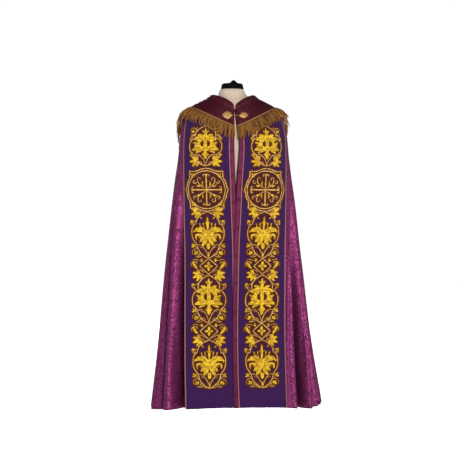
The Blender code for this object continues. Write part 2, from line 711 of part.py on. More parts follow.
def form_mesh():
    """The torso and neck as a closed loft."""
    turn = np.linspace(0, 2 * math.pi, FORM_COLUMNS, endpoint=False)
    rings = [ring_points(s, turn) + (s.centre_x, 0, 0) for s in FORM_SECTIONS]
    count = FORM_COLUMNS
    faces = []
    for row in range(len(rings) - 1):
        for cell in range(count):
            after = (cell + 1) % count
            faces.append((row * count + cell, row * count + after, (row + 1) * count + after, (row + 1) * count + cell))
    faces.append(tuple(range(count))[::-1])
    faces.append(tuple((len(rings) - 1) * count + cell for cell in range(count)))
    mesh = bpy.data.meshes.new("form_torso")
    mesh.from_pydata(np.concatenate(rings).tolist(), [], faces)
    shape = bmesh.new()
    shape.from_mesh(mesh)
    bmesh.ops.recalc_face_normals(shape, faces=shape.faces)
    shape.to_mesh(mesh)
    shape.free()
    mesh.shade_smooth()
    return mesh


def seat_lift(grid, normals, torso):
    """How far the form is raised until the cope lies SEAT_GAP over its shoulders, by halving."""
    cope = BVHTree.FromPolygons(*mesh_lists(grid_mesh("seat_test", grid - normals * CLOTH_WALL)))
    points, faces = mesh_lists(torso)
    clear, touching = -0.03, 0.05
    for _ in range(16):
        lift = (clear + touching) / 2
        raised = BVHTree.FromPolygons([point + Vector((0, 0, lift)) for point in points], faces)
        if cope.overlap(raised):
            touching = lift
        else:
            clear = lift
    return clear - SEAT_GAP


def mesh_lists(mesh):
    """A mesh's points and polygons as lists."""
    return [v.co for v in mesh.vertices], [tuple(p.vertices) for p in mesh.polygons]


def turned(name, profile, centre_x, height, finish_name, collection):
    """A turned piece: a profile of (radius, height) run round an upright axis."""
    mesh = bpy.data.meshes.new(name)
    points = [(radius, 0.0, level) for radius, level in reversed(profile)]
    mesh.from_pydata(points, [(k, k + 1) for k in range(len(points) - 1)], [])
    piece = add_object(name, mesh, finish_name, collection)
    piece.location = (centre_x, 0, height)
    screw = piece.modifiers.new("turn", "SCREW")
    screw.steps = screw.render_steps = TURNED_STEPS
    screw.use_merge_vertices = True
    screw.merge_threshold = 0.00005
    screw.use_smooth_shade = True
    return piece


def build_form(collection, grid, normals):
    """Torso, cap, knob, pole and foot, with the torso raised until it carries the cope."""
    mesh = form_mesh()
    lift = seat_lift(grid, normals, mesh)
    print(f"form raised by {lift * 1000:.2f} mm")
    torso = add_object("form_torso", mesh, "form_cover", collection)
    torso.location.z = lift
    neck_top = FORM_SECTIONS[-1].side_z + lift + SEAM_GAP
    turned("form_cap", CAP_PROFILE, CAP_CENTRE_X, neck_top, "form_black", collection)
    knob_foot = neck_top + CAP_PROFILE[-1][1] + SEAM_GAP
    turned("form_knob", KNOB_PROFILE, KNOB_CENTRE_X, knob_foot, "form_black", collection)
    turned("form_foot", FOOT_PROFILE, 0.0, 0.0, "foot_white", collection)
    pole_foot = FOOT_PROFILE[-1][1] + SEAM_GAP
    pole_top = FORM_SECTIONS[0].side_z + lift - SEAM_GAP
    bpy.ops.mesh.primitive_cylinder_add(
        vertices=TURNED_STEPS // 2,
        radius=POLE_RADIUS,
        depth=pole_top - pole_foot,
        location=(0, 0, (pole_top + pole_foot) / 2),
    )
    pole = bpy.context.object
    pole.name = "form_pole"
    pole.data.materials.append(finish("steel"))
    for other in list(pole.users_collection):
        other.objects.unlink(pole)
    collection.objects.link(pole)


def main():
    """Builds the garment and the form in one collection."""
    clear_scene()
    collection = bpy.data.collections.new("cope_on_dress_form")
    bpy.context.scene.collection.children.link(collection)
    grid, normals = build_cope(collection)
    hood_face = hood_grid()
    cloth_piece("hood", hood_face, CLOTH_WALL, "hood_damask", collection)
    build_fringe(collection)
    build_clasp(collection, hood_face)
    build_form(collection, grid, normals)


main()
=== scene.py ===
"""Finished look of a cope, clasped at the breast and worn by a limbless dress form.

Units are metres and +Z is up. The garment's front faces -Y, so +X is its own left side, and the
origin is on the floor at the centre of the form's foot. Every cloth is a grid of points worked out
from level rings, dense enough to show its folds, and gets its wall from a Solidify modifier.
"""
import logging
import math
from collections.abc import Sequence
from dataclasses import dataclass, field, replace
from enum import Enum
from functools import cache
from typing import NamedTuple, TypeAlias

import bpy
import numpy as np
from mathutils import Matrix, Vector


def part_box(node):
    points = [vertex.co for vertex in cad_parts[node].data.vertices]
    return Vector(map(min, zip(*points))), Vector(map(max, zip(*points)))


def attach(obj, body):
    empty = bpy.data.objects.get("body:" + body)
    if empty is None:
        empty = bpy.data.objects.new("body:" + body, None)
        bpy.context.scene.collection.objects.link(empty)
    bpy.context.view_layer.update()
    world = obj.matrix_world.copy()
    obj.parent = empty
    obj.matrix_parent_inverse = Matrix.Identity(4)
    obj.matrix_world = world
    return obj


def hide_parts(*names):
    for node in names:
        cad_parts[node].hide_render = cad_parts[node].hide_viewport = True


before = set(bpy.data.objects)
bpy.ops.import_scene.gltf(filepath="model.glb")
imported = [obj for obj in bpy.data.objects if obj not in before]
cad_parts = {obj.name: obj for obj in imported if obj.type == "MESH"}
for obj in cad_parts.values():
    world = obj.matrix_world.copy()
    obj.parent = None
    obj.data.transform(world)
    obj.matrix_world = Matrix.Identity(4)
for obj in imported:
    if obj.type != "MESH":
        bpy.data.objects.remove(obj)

Array = np.ndarray
Material = bpy.types.Material
Piece = bpy.types.Object
Colour = tuple[float, float, float]
Place = tuple[float, float, float]
Spot = tuple[float, float]

log = logging.getLogger("cope")
ROOT = "root"
UV_NAME = "cloth"

RIGHT, LEFT = -1, 1  # the wearer's sides, as signs of X
SIDES = ((RIGHT, "right"), (LEFT, "left"))


class Section(NamedTuple):
    """One level ring: heights, half width, middle, depth before and behind, and its powers."""

    name: str
    front_z: float
    side_z: float
    back_z: float
    half_width: float
    centre_x: float
    front_y: float
    back_y: float
    square: float
    vee: float


class Hang(NamedTuple):
    """How one ring hangs: half the front gap, its drift, the upper front's lift, share of the folds."""

    edge: float
    drift: float
    lap: float
    fold: float


class Fold(NamedTuple):
    """One pipe fold: shares of the way to the centre back, and shares of the fold depth."""

    ridge_at: float
    ridge_out: float
    valley_at: float
    valley_in: float


COPE_SECTIONS = (
    #       name            front_z side_z  back_z  half_w  centre_x front_y  back_y  square vee
    Section("neckline",     1.4000, 1.4640, 1.4650, 0.0890, -0.0045, -0.0965, 0.0800, 2.00, 0.65),
    Section("yoke",         1.3820, 1.4520, 1.4490, 0.1200, -0.0045, -0.1045, 0.0960, 2.00, 0.75),
    Section("shoulder",     1.3630, 1.4370, 1.4280, 0.1530, -0.0045, -0.1120, 0.1110, 2.00, 0.90),
    Section("shoulder_tip", 1.3380, 1.4140, 1.3950, 0.1920, -0.0040, -0.1180, 0.1290, 2.10, 1.10),
    Section("arm_top",      1.3100, 1.3850, 1.3620, 0.2205, -0.0030, -0.1225, 0.1400, 2.15, 1.30),
    Section("upper_arm",    1.2800, 1.3350, 1.3200, 0.2435, -0.0020, -0.1265, 0.1480, 2.20, 1.50),
    Section("breast",       1.2400, 1.2700, 1.2600, 0.2535, 0.0000, -0.1310, 0.1560, 2.30, 1.80),
    Section("ribs",         1.1750, 1.1850, 1.1850, 0.2600, 0.0000, -0.1370, 0.1640, 2.30, 2.00),
    Section("waist",        1.0600, 1.0600, 1.0600, 0.2722, 0.0000, -0.1465, 0.1780, 2.40, 2.00),
    Section("hip",          0.9300, 0.9300, 0.9300, 0.2825, 0.0005, -0.1560, 0.1930, 2.50, 2.00),
    Section("thigh",        0.7700, 0.7700, 0.7700, 0.2936, 0.0012, -0.1658, 0.2126, 2.60, 2.00),
    Section("knee",         0.5800, 0.5800, 0.5800, 0.3078, 0.0032, -0.1768, 0.2354, 2.70, 2.00),
    Section("calf",         0.3900, 0.3900, 0.3900, 0.3238, 0.0062, -0.1870, 0.2575, 2.80, 2.00),
    Section("ankle",        0.2050, 0.1950, 0.2000, 0.3426, 0.0102, -0.1968, 0.2780, 2.95, 2.00),
    Section("hem",          0.0340, 0.0100, 0.0180, 0.3622, 0.0130, -0.2060, 0.2950, 3.00, 2.00),
)

COPE_HANG = {
    #                    edge     drift    lap     fold
    "neckline":     Hang(0.0035, 0.0000, 0.0000, 0.00),
    "yoke":         Hang(0.0035, 0.0000, 0.0000, 0.00),
    "shoulder":     Hang(0.0035, 0.0000, 0.0000, 0.00),
    "shoulder_tip": Hang(0.0040, 0.0005, 0.0000, 0.00),
    "arm_top":      Hang(0.0060, 0.0010, 0.0000, 0.00),
    "upper_arm":    Hang(0.0080, 0.0015, 0.0000, 0.00),
    "breast":       Hang(0.0105, 0.0010, 0.0000, 0.00),
    "ribs":         Hang(0.0090, 0.0000, 0.0000, 0.03),
    "waist":        Hang(0.0030, -0.0025, 0.0010, 0.12),
    "hip":          Hang(-0.0020, -0.0050, 0.0045, 0.28),
    "thigh":        Hang(-0.0090, -0.0080, 0.0055, 0.46),
    "knee":         Hang(-0.0125, -0.0120, 0.0055, 0.64),
    "calf":         Hang(-0.0145, -0.0170, 0.0055, 0.78),
    "ankle":        Hang(-0.0145, -0.0200, 0.0055, 0.90),
    "hem":          Hang(-0.0140, -0.0190, 0.0055, 1.00),
}

FOLDS = {
    RIGHT: (
        #    ridge_at ridge_out valley_at valley_in
        Fold(0.094, 0.93, 0.027, 1.14),
        Fold(0.262, 1.00, 0.208, 0.85),
        Fold(0.372, 0.95, 0.316, 1.00),
        Fold(0.505, 1.05, 0.435, 0.90),
        Fold(0.650, 0.90, 0.578, 1.05),
        Fold(0.795, 1.05, 0.722, 0.95),
    ),
    LEFT: (
        Fold(0.046, 0.45, 0.006, -0.10),
        Fold(0.128, 0.92, 0.088, 1.05),
        Fold(0.174, 0.95, 0.150, -0.30),
        Fold(0.224, 0.95, 0.199, 0.00),
        Fold(0.322, 1.00, 0.266, 0.85),
        Fold(0.455, 0.90, 0.385, 1.05),
        Fold(0.595, 1.05, 0.525, 0.95),
        Fold(0.735, 0.95, 0.665, 0.90),
        Fold(0.868, 0.80, 0.802, 0.85),
    ),
}


class Crease(NamedTuple):
    """A soft trough, or a ridge where its depth is negative, laid over the folds."""

    share: float  # of the way from the orphrey to the centre back
    height: float
    length: float
    width: float
    depth: float
    lean: float  # change of the share for each metre of height


CREASES = {
    RIGHT: (
        Crease(0.022, 0.12, 0.50, 0.0200, 0.0240, 0.004),
        Crease(0.212, 0.18, 0.42, 0.0130, 0.0150, 0.006),
        Crease(0.026, 0.70, 0.26, 0.0130, 0.0060, -0.010),
        Crease(0.062, 0.28, 0.20, 0.0100, 0.0035, 0.040),
        Crease(0.098, 0.62, 0.24, 0.0090, 0.0030, -0.030),
        Crease(0.072, 0.20, 0.17, 0.0100, 0.0025, 0.050),
        Crease(0.150, 0.10, 0.30, 0.0150, 0.0080, 0.010),
        Crease(0.190, 0.42, 0.22, 0.0110, 0.0040, -0.035),
        Crease(0.236, 0.24, 0.18, 0.0120, -0.0040, 0.040),
        Crease(0.300, 0.80, 0.22, 0.0130, 0.0050, 0.030),
        Crease(0.335, 0.34, 0.25, 0.0120, 0.0045, -0.050),
        Crease(0.410, 0.95, 0.18, 0.0150, 0.0050, 0.040),
        Crease(0.470, 0.22, 0.21, 0.0120, -0.0045, 0.030),
        Crease(0.540, 0.58, 0.26, 0.0130, 0.0050, -0.030),
        Crease(0.615, 0.30, 0.20, 0.0140, 0.0050, 0.045),
        Crease(0.700, 0.84, 0.24, 0.0150, 0.0045, -0.035),
        Crease(0.762, 0.18, 0.22, 0.0110, 0.0050, 0.020),
        Crease(0.850, 0.46, 0.28, 0.0130, 0.0040, -0.020),
        Crease(0.930, 0.74, 0.23, 0.0150, 0.0050, 0.030),
    ),
    LEFT: (
        Crease(0.088, 0.14, 0.44, 0.0150, 0.0120, 0.012),
        Crease(0.020, 0.46, 0.28, 0.0110, 0.0040, 0.030),
        Crease(0.052, 0.72, 0.24, 0.0110, 0.0050, -0.030),
        Crease(0.118, 0.34, 0.20, 0.0090, 0.0035, 0.050),
        Crease(0.128, 0.26, 0.22, 0.0080, -0.0040, -0.030),
        Crease(0.151, 0.10, 0.26, 0.0090, 0.0080, 0.010),
        Crease(0.215, 0.52, 0.25, 0.0120, 0.0040, -0.040),
        Crease(0.262, 0.16, 0.24, 0.0130, 0.0060, 0.020),
        Crease(0.345, 0.76, 0.22, 0.0130, 0.0045, 0.035),
        Crease(0.372, 0.28, 0.20, 0.0110, 0.0050, -0.045),
        Crease(0.440, 0.92, 0.20, 0.0150, 0.0050, 0.030),
        Crease(0.505, 0.36, 0.24, 0.0120, -0.0040, 0.040),
        Crease(0.580, 0.20, 0.18, 0.0120, 0.0050, -0.030),
        Crease(0.640, 0.66, 0.27, 0.0140, 0.0050, 0.025),
        Crease(0.720, 0.30, 0.22, 0.0120, 0.0045, 0.040),
        Crease(0.790, 0.88, 0.21, 0.0150, 0.0045, -0.035),
        Crease(0.850, 0.24, 0.26, 0.0120, 0.0050, 0.030),
        Crease(0.945, 0.50, 0.24, 0.0140, 0.0040, -0.020),
    ),
}


class HemLift(NamedTuple):
    """Where the hem hangs higher: a share of the way to the centre back, its reach, and the lift there."""

    share: float
    reach: float
    lift: float


HEM_LIFTS = {RIGHT: HemLift(0.10, 0.10, 0.005), LEFT: HemLift(0.235, 0.075, 0.030)}
HEM_LIFT_HEIGHT = 0.25  # where the lift has died out
LAST_VALLEY = {RIGHT: (0.890, 0.85), LEFT: (0.935, 0.55)}  # shares of the way, and of the fold depth
CENTRE_BACK_OUT = 0.75  # share of the fold depth
SEAM_VALLEY = {RIGHT: 2, LEFT: 5}  # the fold in whose valley the side seam lies


class Panel(NamedTuple):
    """One panel of the cope as it is cut: its box, and its area in square metres."""

    name: str
    flat: tuple[float, float]
    area: float


PANELS = (
    Panel("cope_front_right", (0.97, 1.45), 0.78),
    Panel("cope_back", (2.04, 1.45), 1.62),
    Panel("cope_front_left", (1.10, 1.45), 0.90),
)

HOOD_CREST = (
    #       name        front_z side_z  back_z  half_w  centre_x front_y  back_y  square vee
    Section("crest",    1.4110, 1.4765, 1.4760, 0.0945, -0.0045, -0.1035, 0.0865, 2.00, 0.55),
    Section("turn",     1.4070, 1.4755, 1.4745, 0.1010, -0.0045, -0.1085, 0.0930, 2.00, 0.55),
)
# How far the hood's face stands off the cope's ring of that name
HOOD_STAND_OFF = {
    "yoke": 0.0080,
    "shoulder": 0.0070,
    "shoulder_tip": 0.0080,
    "arm_top": 0.0110,
    "upper_arm": 0.0118,
    "breast": 0.0100,
    "ribs": 0.0080,
    "waist": 0.0100,
    "hip": 0.0165,
}

FORM_SECTIONS = (
    #       name          front_z side_z  back_z  half_w  centre_x front_y  back_y  square vee
    Section("underside",  0.8000, 0.8000, 0.8000, 0.1500, 0.0000, -0.0980, 0.0960, 2.20, 2.0),
    Section("hip_low",    0.8120, 0.8120, 0.8120, 0.1620, 0.0000, -0.1080, 0.1080, 2.20, 2.0),
    Section("hip",        0.9000, 0.9000, 0.9000, 0.1700, 0.0000, -0.1160, 0.1160, 2.20, 2.0),
    Section("waist_low",  1.0000, 1.0000, 1.0000, 0.1580, 0.0000, -0.1080, 0.1020, 2.20, 2.0),
    Section("waist",      1.0800, 1.0800, 1.0800, 0.1500, 0.0000, -0.1030, 0.0920, 2.20, 2.0),
    Section("ribs",       1.1800, 1.1800, 1.1800, 0.1660, 0.0000, -0.1090, 0.1040, 2.20, 2.0),
    Section("chest",      1.2600, 1.2800, 1.2700, 0.1860, -0.0010, -0.1120, 0.1130, 2.20, 2.0),
    Section("armhole",    1.3200, 1.3640, 1.3470, 0.1960, -0.0030, -0.1080, 0.1140, 2.15, 1.6),
    Section("tip",        1.3450, 1.4070, 1.3920, 0.1860, -0.0040, -0.1020, 0.1090, 2.10, 1.4),
    Section("shoulder",   1.3720, 1.4350, 1.4240, 0.1480, -0.0045, -0.0940, 0.0940, 2.00, 1.3),
    Section("neck_base",  1.4050, 1.4565, 1.4560, 0.0940, -0.0050, -0.0800, 0.0740, 2.00, 1.2),
    Section("neck_low",   1.4380, 1.4690, 1.4690, 0.0720, -0.0040, -0.0690, 0.0630, 2.00, 1.5),
    Section("neck",       1.4720, 1.4800, 1.4800, 0.0640, -0.0060, -0.0620, 0.0590, 2.00, 2.0),
    Section("neck_round", 1.4965, 1.4965, 1.4965, 0.0580, -0.0080, -0.0580, 0.0570, 2.00, 2.0),
    Section("neck_top",   1.5025, 1.5025, 1.5025, 0.0525, -0.0070, -0.0520, 0.0520, 2.00, 2.0),
)


# --- Rings, lines and grids ---


def smooth(share: Array) -> Array:
    """An eased step, 3 s^2 - 2 s^3, of a share clipped to 0..1."""
    share = np.clip(share, 0.0, 1.0)
    return share * share * (3 - 2 * share)


def ring_points(section: Section, turn: Array) -> Array:
    """Points of a ring about its own middle.

    x = half_width |sin|^(2/square) and y = depth |cos|^(2/square) make the superellipse; the front's
    height falls by 1 - |sin|^vee and the back's by cos^2.

    Args:
        section: The ring's sizes.
        turn: Angles from the centre front, towards +X, in radians.

    Returns:
        The points, with turn's shape and a last axis of 3.
    """
    sine, cosine = np.sin(turn), np.cos(turn)
    power = 2 / section.square
    x = section.half_width * np.sign(sine) * np.abs(sine) ** power
    y = np.where(cosine > 0, section.front_y, section.back_y) * np.abs(cosine) ** power
    dip = 1 - np.abs(sine) ** section.vee
    front = section.side_z + (section.front_z - section.side_z) * dip
    back = section.side_z + (section.back_z - section.side_z) * cosine**2
    return np.stack([x, y, np.where(cosine > 0, front, back)], axis=-1)


def placed(section: Section, turn: Array, side: int) -> Array:
    """Points of a ring in their place, on the half of that side."""
    return ring_points(section, turn) * (side, 1, 1) + (section.centre_x, 0, 0)


def joined_halves(right: Array, left: Array) -> Array:
    """One grid from the right front edge (-X) round the back to the left one (+X)."""
    return np.concatenate([right, left[:, -2::-1]], axis=1)


def lengths_along(points: Array) -> Array:
    """Lengths from the first point to each point of lines whose points lie on the last axis but one."""
    steps = np.linalg.norm(np.diff(points, axis=-2), axis=-1)
    return np.concatenate([np.zeros(steps.shape[:-1] + (1,)), np.cumsum(steps, axis=-1)], axis=-1)


def at_lengths(points: Array, along: Array, wanted: Array) -> Array:
    """Points of one line at the wanted lengths, by straight steps."""
    return np.stack([np.interp(wanted, along, points[:, k]) for k in range(3)], axis=-1)


def hermite(start: Array, end: Array, slope_in: Array, slope_out: Array, span: Array, part: Array) -> Array:
    """A cubic step between two points that keeps the slopes at both.

    Args:
        start: The first point.
        end: The second point.
        slope_in: The slope at the first.
        slope_out: The slope at the second.
        span: The step's length, in the unit of the slopes.
        part: How far along the step, from 0 to 1.

    Returns:
        The point there.
    """
    back = (1 - part) ** 2
    return (
        start * back * (1 + 2 * part)
        + slope_in * span * back * part
        + end * part**2 * (3 - 2 * part)
        + slope_out * span * part**2 * (part - 1)
    )


def through_rows(grid: Array, knots: Array, wanted: Array) -> Array:
    """Rows of a grid at the wanted knot values, by cubic steps through its own rows.

    Args:
        grid: Points as rows, columns, 3.
        knots: A rising value for each row.
        wanted: The values to read at.

    Returns:
        The new grid.
    """
    slope = np.gradient(grid, knots, axis=0)
    step = np.clip(np.searchsorted(knots, wanted, side="right") - 1, 0, len(knots) - 2)
    span = (knots[step + 1] - knots[step])[:, None, None]
    part = (wanted - knots[step])[:, None, None] / span
    return hermite(grid[step], grid[step + 1], slope[step], slope[step + 1], span, part)


def along_lines(lines: Array, along: Array, wanted: Array) -> Array:
    """One point on each of many lines, by cubic steps through each line's own points.

    Args:
        lines: Points as lines, stations, 3.
        along: The length from its first station to each, as lines, stations.
        wanted: The length to read each line at.

    Returns:
        A point for each line.
    """
    gaps = np.diff(along, axis=1)[..., None]
    rates = np.diff(lines, axis=1) / gaps
    before, after = gaps[:, :-1], gaps[:, 1:]
    inner = (rates[:, :-1] * after + rates[:, 1:] * before) / (before + after)
    slope = np.concatenate([rates[:, :1], inner, rates[:, -1:]], axis=1)
    step = np.clip((along <= wanted[:, None]).sum(axis=1) - 1, 0, lines.shape[1] - 2)
    row = np.arange(len(lines))
    span = (along[row, step + 1] - along[row, step])[:, None]
    part = (wanted - along[row, step])[:, None] / span
    return hermite(lines[row, step], lines[row, step + 1], slope[row, step], slope[row, step + 1], span, part)


def unit(vectors: Array) -> Array:
    """Vectors of length one."""
    return vectors / np.maximum(np.linalg.norm(vectors, axis=-1, keepdims=True), 1e-12)


def mean_steps(grid: Array, axis: int) -> Array:
    """Directions along one axis of a grid, from the unit steps before and after each point.

    Args:
        grid: Points as rows, columns, 3.
        axis: 0 for down the columns, 1 for along the rows.

    Returns:
        A vector for each point, not yet of length one.
    """
    steps = unit(np.diff(grid, axis=axis))
    first, last = np.take(steps, [0], axis), np.take(steps, [-1], axis)
    return np.concatenate([first, steps], axis) + np.concatenate([steps, last], axis)


def grid_normals(grid: Array) -> Array:
    """Unit normals of a grid, on the outer side of rings read from -X round the back."""
    return unit(np.cross(mean_steps(grid, 1), mean_steps(grid, 0)))


def face_normals(grid: Array, side: int) -> Array:
    """Outward unit normals of a grid whose columns run back from that side's front edge."""
    return grid_normals(grid) if side == RIGHT else grid_normals(grid[:, ::-1])[:, ::-1]


def drawn_in(grid: Array, by: float) -> Array:
    """A grid with its outer columns drawn in, for the gap at a seam.

    Args:
        grid: Points as rows, columns, 3.
        by: How far the first and last columns move.

    Returns:
        The new grid.
    """
    grid = grid.copy()
    for edge, inner in ((0, 1), (-1, -2)):
        grid[:, edge] += by * unit(grid[:, inner] - grid[:, edge])
    return grid


def cloth_metres(grid: Array, origin: int) -> Array:
    """UV of a grid in metres of cloth: lengths along each row, and the mean length down the columns.

    Args:
        grid: Points as rows, columns, 3.
        origin: The column where the lengths along the rows start.

    Returns:
        A UV for each point.
    """
    across = lengths_along(grid)
    across = across - across[:, origin : origin + 1]
    down = lengths_along(grid.transpose(1, 0, 2)).T
    return np.stack([across, -down.mean(axis=1, keepdims=True) + 0 * down], axis=-1)


# --- Meshes ---


def fill_mesh(name: str, points: Array, faces: Sequence[Array], uv: Array) -> bpy.types.Mesh:
    """A smooth mesh from whole arrays.

    Args:
        name: The mesh's name.
        points: Its points, with a last axis of 3.
        faces: Blocks of corner numbers, each block with one number of sides.
        uv: A UV for each point, with a last axis of 2.

    Returns:
        The mesh.
    """
    points, uv = points.reshape(-1, 3), uv.reshape(-1, 2)
    corners = np.concatenate([block.reshape(-1) for block in faces]).astype(np.int32)
    sides = np.concatenate([np.full(len(block), block.shape[1]) for block in faces])
    starts = np.concatenate([[0], np.cumsum(sides)[:-1]]).astype(np.int32)
    mesh = bpy.data.meshes.new(name)
    mesh.vertices.add(len(points))
    mesh.vertices.foreach_set("co", points.astype(np.float32).ravel())
    mesh.loops.add(len(corners))
    mesh.loops.foreach_set("vertex_index", corners)
    mesh.polygons.add(len(sides))
    mesh.polygons.foreach_set("loop_start", starts)
    layer = mesh.uv_layers.new(name=UV_NAME)
    layer.uv.foreach_set("vector", uv[corners].astype(np.float32).ravel())
    mesh.update(calc_edges=True)
    mesh.validate()
    mesh.shade_smooth()
    return mesh


def grid_faces(rows: int, columns: int) -> Array:
    """Quads of an open grid that face the side of grid_normals.

    Args:
        rows: How many rows of points it has.
        columns: How many columns.

    Returns:
        Four corner numbers for each quad.
    """
    corner = np.arange(rows * columns).reshape(rows, columns)
    quads = np.stack([corner[:-1, :-1], corner[:-1, 1:], corner[1:, 1:], corner[1:, :-1]], axis=-1)
    return quads.reshape(-1, 4)


def tube_faces(tubes: int, stations: int, around: int) -> list[Array]:
    """Quads and end caps of closed tubes whose rings run counter-clockwise about their way.

    Args:
        tubes: How many tubes follow each other in the point array.
        stations: Rings in each.
        around: Points in each ring.

    Returns:
        The quads, and the caps.
    """
    corner = np.arange(tubes * stations * around).reshape(tubes, stations, around)
    beside = np.roll(corner, -1, axis=2)
    quads = np.stack([corner[:, :-1], beside[:, :-1], beside[:, 1:], corner[:, 1:]], axis=-1)
    caps = np.concatenate([corner[:, 0, ::-1], corner[:, -1]])
    return [quads.reshape(-1, 4), caps]


# --- Finishes ---

Value: TypeAlias = "Signal | float"
Inputs: TypeAlias = "dict[int | str, Signal | float | Colour]"


@dataclass(frozen=True)
class Signal:
    """A value carried along a material's node tree, with ordinary arithmetic."""

    graph: "Graph"
    socket: bpy.types.NodeSocket

    def __add__(self, other: Value) -> "Signal":
        """The sum."""
        return self.graph.math("ADD", self, other)

    def __sub__(self, other: Value) -> "Signal":
        """The difference."""
        return self.graph.math("SUBTRACT", self, other)

    def __mul__(self, other: Value) -> "Signal":
        """The product."""
        return self.graph.math("MULTIPLY", self, other)

    def __truediv__(self, other: Value) -> "Signal":
        """The quotient."""
        return self.graph.math("DIVIDE", self, other)

    def fraction(self) -> "Signal":
        """The part after the decimal point."""
        return self.graph.math("FRACT", self)

    def size(self) -> "Signal":
        """The value without its sign."""
        return self.graph.math("ABSOLUTE", self)

    def wave(self) -> "Signal":
        """The sine of the value taken as turns."""
        return self.graph.math("SINE", self * math.tau)

    def ribs(self, pitch: float) -> "Signal":
        """0 to 1 and back, once in each pitch."""
        return (self / pitch).wave() * 0.5 + 0.5

    def level(self, low: float, high: float) -> "Signal":
        """A number from low to high as the value goes from 0 to 1."""
        return self * (high - low) + low

    def between(self, low: float, high: float) -> "Signal":
        """A smooth step as the value goes from low to high, which may be the lower one.

        Args:
            low: Where the step is 0.
            high: Where it is 1.

        Returns:
            The step.
        """
        if high < low:
            return self.graph.math("SUBTRACT", 1.0, self.between(high, low))
        inputs = {"Value": self, "From Min": low, "From Max": high}
        return self.graph.result("ShaderNodeMapRange", inputs, interpolation_type="SMOOTHSTEP")

    def larger(self, other: Value) -> "Signal":
        """The larger of the two."""
        return self.graph.math("MAXIMUM", self, other)

    def smaller(self, other: Value) -> "Signal":
        """The smaller of the two."""
        return self.graph.math("MINIMUM", self, other)


class Graph:
    """A material and its node tree."""

    def __init__(self, name: str) -> None:
        """Makes the material of that name, with its one shader."""
        self.material = bpy.data.materials.new(name)
        self.material.use_nodes = True
        self.tree = self.material.node_tree
        self.shader = self.tree.nodes["Principled BSDF"]

    def feed(self, socket: bpy.types.NodeSocket, value: "Value | Colour") -> None:
        """Gives a socket its value.

        Args:
            socket: The input.
            value: A signal to link, or the socket's own number or colour.
        """
        if isinstance(value, Signal):
            self.tree.links.new(value.socket, socket)
        elif isinstance(value, tuple):
            socket.default_value = (*value, 1.0)
        else:
            socket.default_value = value

    def node(self, kind: str, inputs: Inputs, **settings: object) -> bpy.types.Node:
        """Adds a node.

        Args:
            kind: The node's type.
            inputs: What to feed it, by the names or numbers of its sockets.
            settings: Its own settings.

        Returns:
            The node.
        """
        made = self.tree.nodes.new(kind)
        for name, value in settings.items():
            setattr(made, name, value)
        for name, value in inputs.items():
            self.feed(made.inputs[name], value)
        return made

    def result(self, kind: str, inputs: Inputs, output: int | str = 0, **settings: object) -> Signal:
        """Adds a node, as node does, and gives the value of one of its outputs."""
        return Signal(self, self.node(kind, inputs, **settings).outputs[output])

    def math(self, operation: str, *values: Value) -> Signal:
        """The result of a math node on the values."""
        return self.result("ShaderNodeMath", dict(enumerate(values)), operation=operation)

    def metres(self) -> tuple[Signal, Signal]:
        """The cloth's own coordinates: metres across, and metres down."""
        return self.parts(self.result("ShaderNodeUVMap", {}, "UV", uv_map=UV_NAME))[:2]

    def place(self) -> Signal:
        """The point in the object's own space, as a vector."""
        return self.result("ShaderNodeTexCoord", {}, "Object")

    def parts(self, vector: Signal) -> tuple[Signal, ...]:
        """The X, Y and Z of a vector."""
        split = self.node("ShaderNodeSeparateXYZ", {0: vector})
        return tuple(Signal(self, split.outputs[axis]) for axis in "XYZ")

    def vector(self, *values: Value) -> Signal:
        """The vector of three values."""
        return self.result("ShaderNodeCombineXYZ", dict(enumerate(values)))

    def noise(self, where: Signal, scale: float, detail: float) -> Signal:
        """Smooth noise of about 0 to 1: its point in metres, its waves a metre and its finer octaves."""
        return self.result("ShaderNodeTexNoise", {"Vector": where, "Scale": scale, "Detail": detail}, "Fac")

    def blend(self, share: Value, first: Signal | Colour, second: Signal | Colour) -> Signal:
        """A colour between two, with that share of the second."""
        return self.result("ShaderNodeMix", {0: share, 6: first, 7: second}, 2, data_type="RGBA")

    def bump(self, height: Signal, depth: float, strength: float = 1.0) -> None:
        """Tilts the shader's normal by a height field of about 0 to 1, where 1 stands for depth in metres."""
        inputs = {"Distance": depth, "Strength": strength, "Height": height}
        self.feed(self.shader.inputs["Normal"], self.result("ShaderNodeBump", inputs))

    def finish(self, **sockets: "Value | Colour") -> Material:
        """Feeds the shader.

        Args:
            sockets: Its inputs, named with underscores.

        Returns:
            The material.
        """
        for name, value in sockets.items():
            self.feed(self.shader.inputs[name.replace("_", " ").title().replace("Ior", "IOR")], value)
        return self.material


@dataclass(frozen=True)
class Finish:
    """What every finish has: its material's name, a main colour, and one mixed into it."""

    name: str
    colour: Colour
    other: Colour


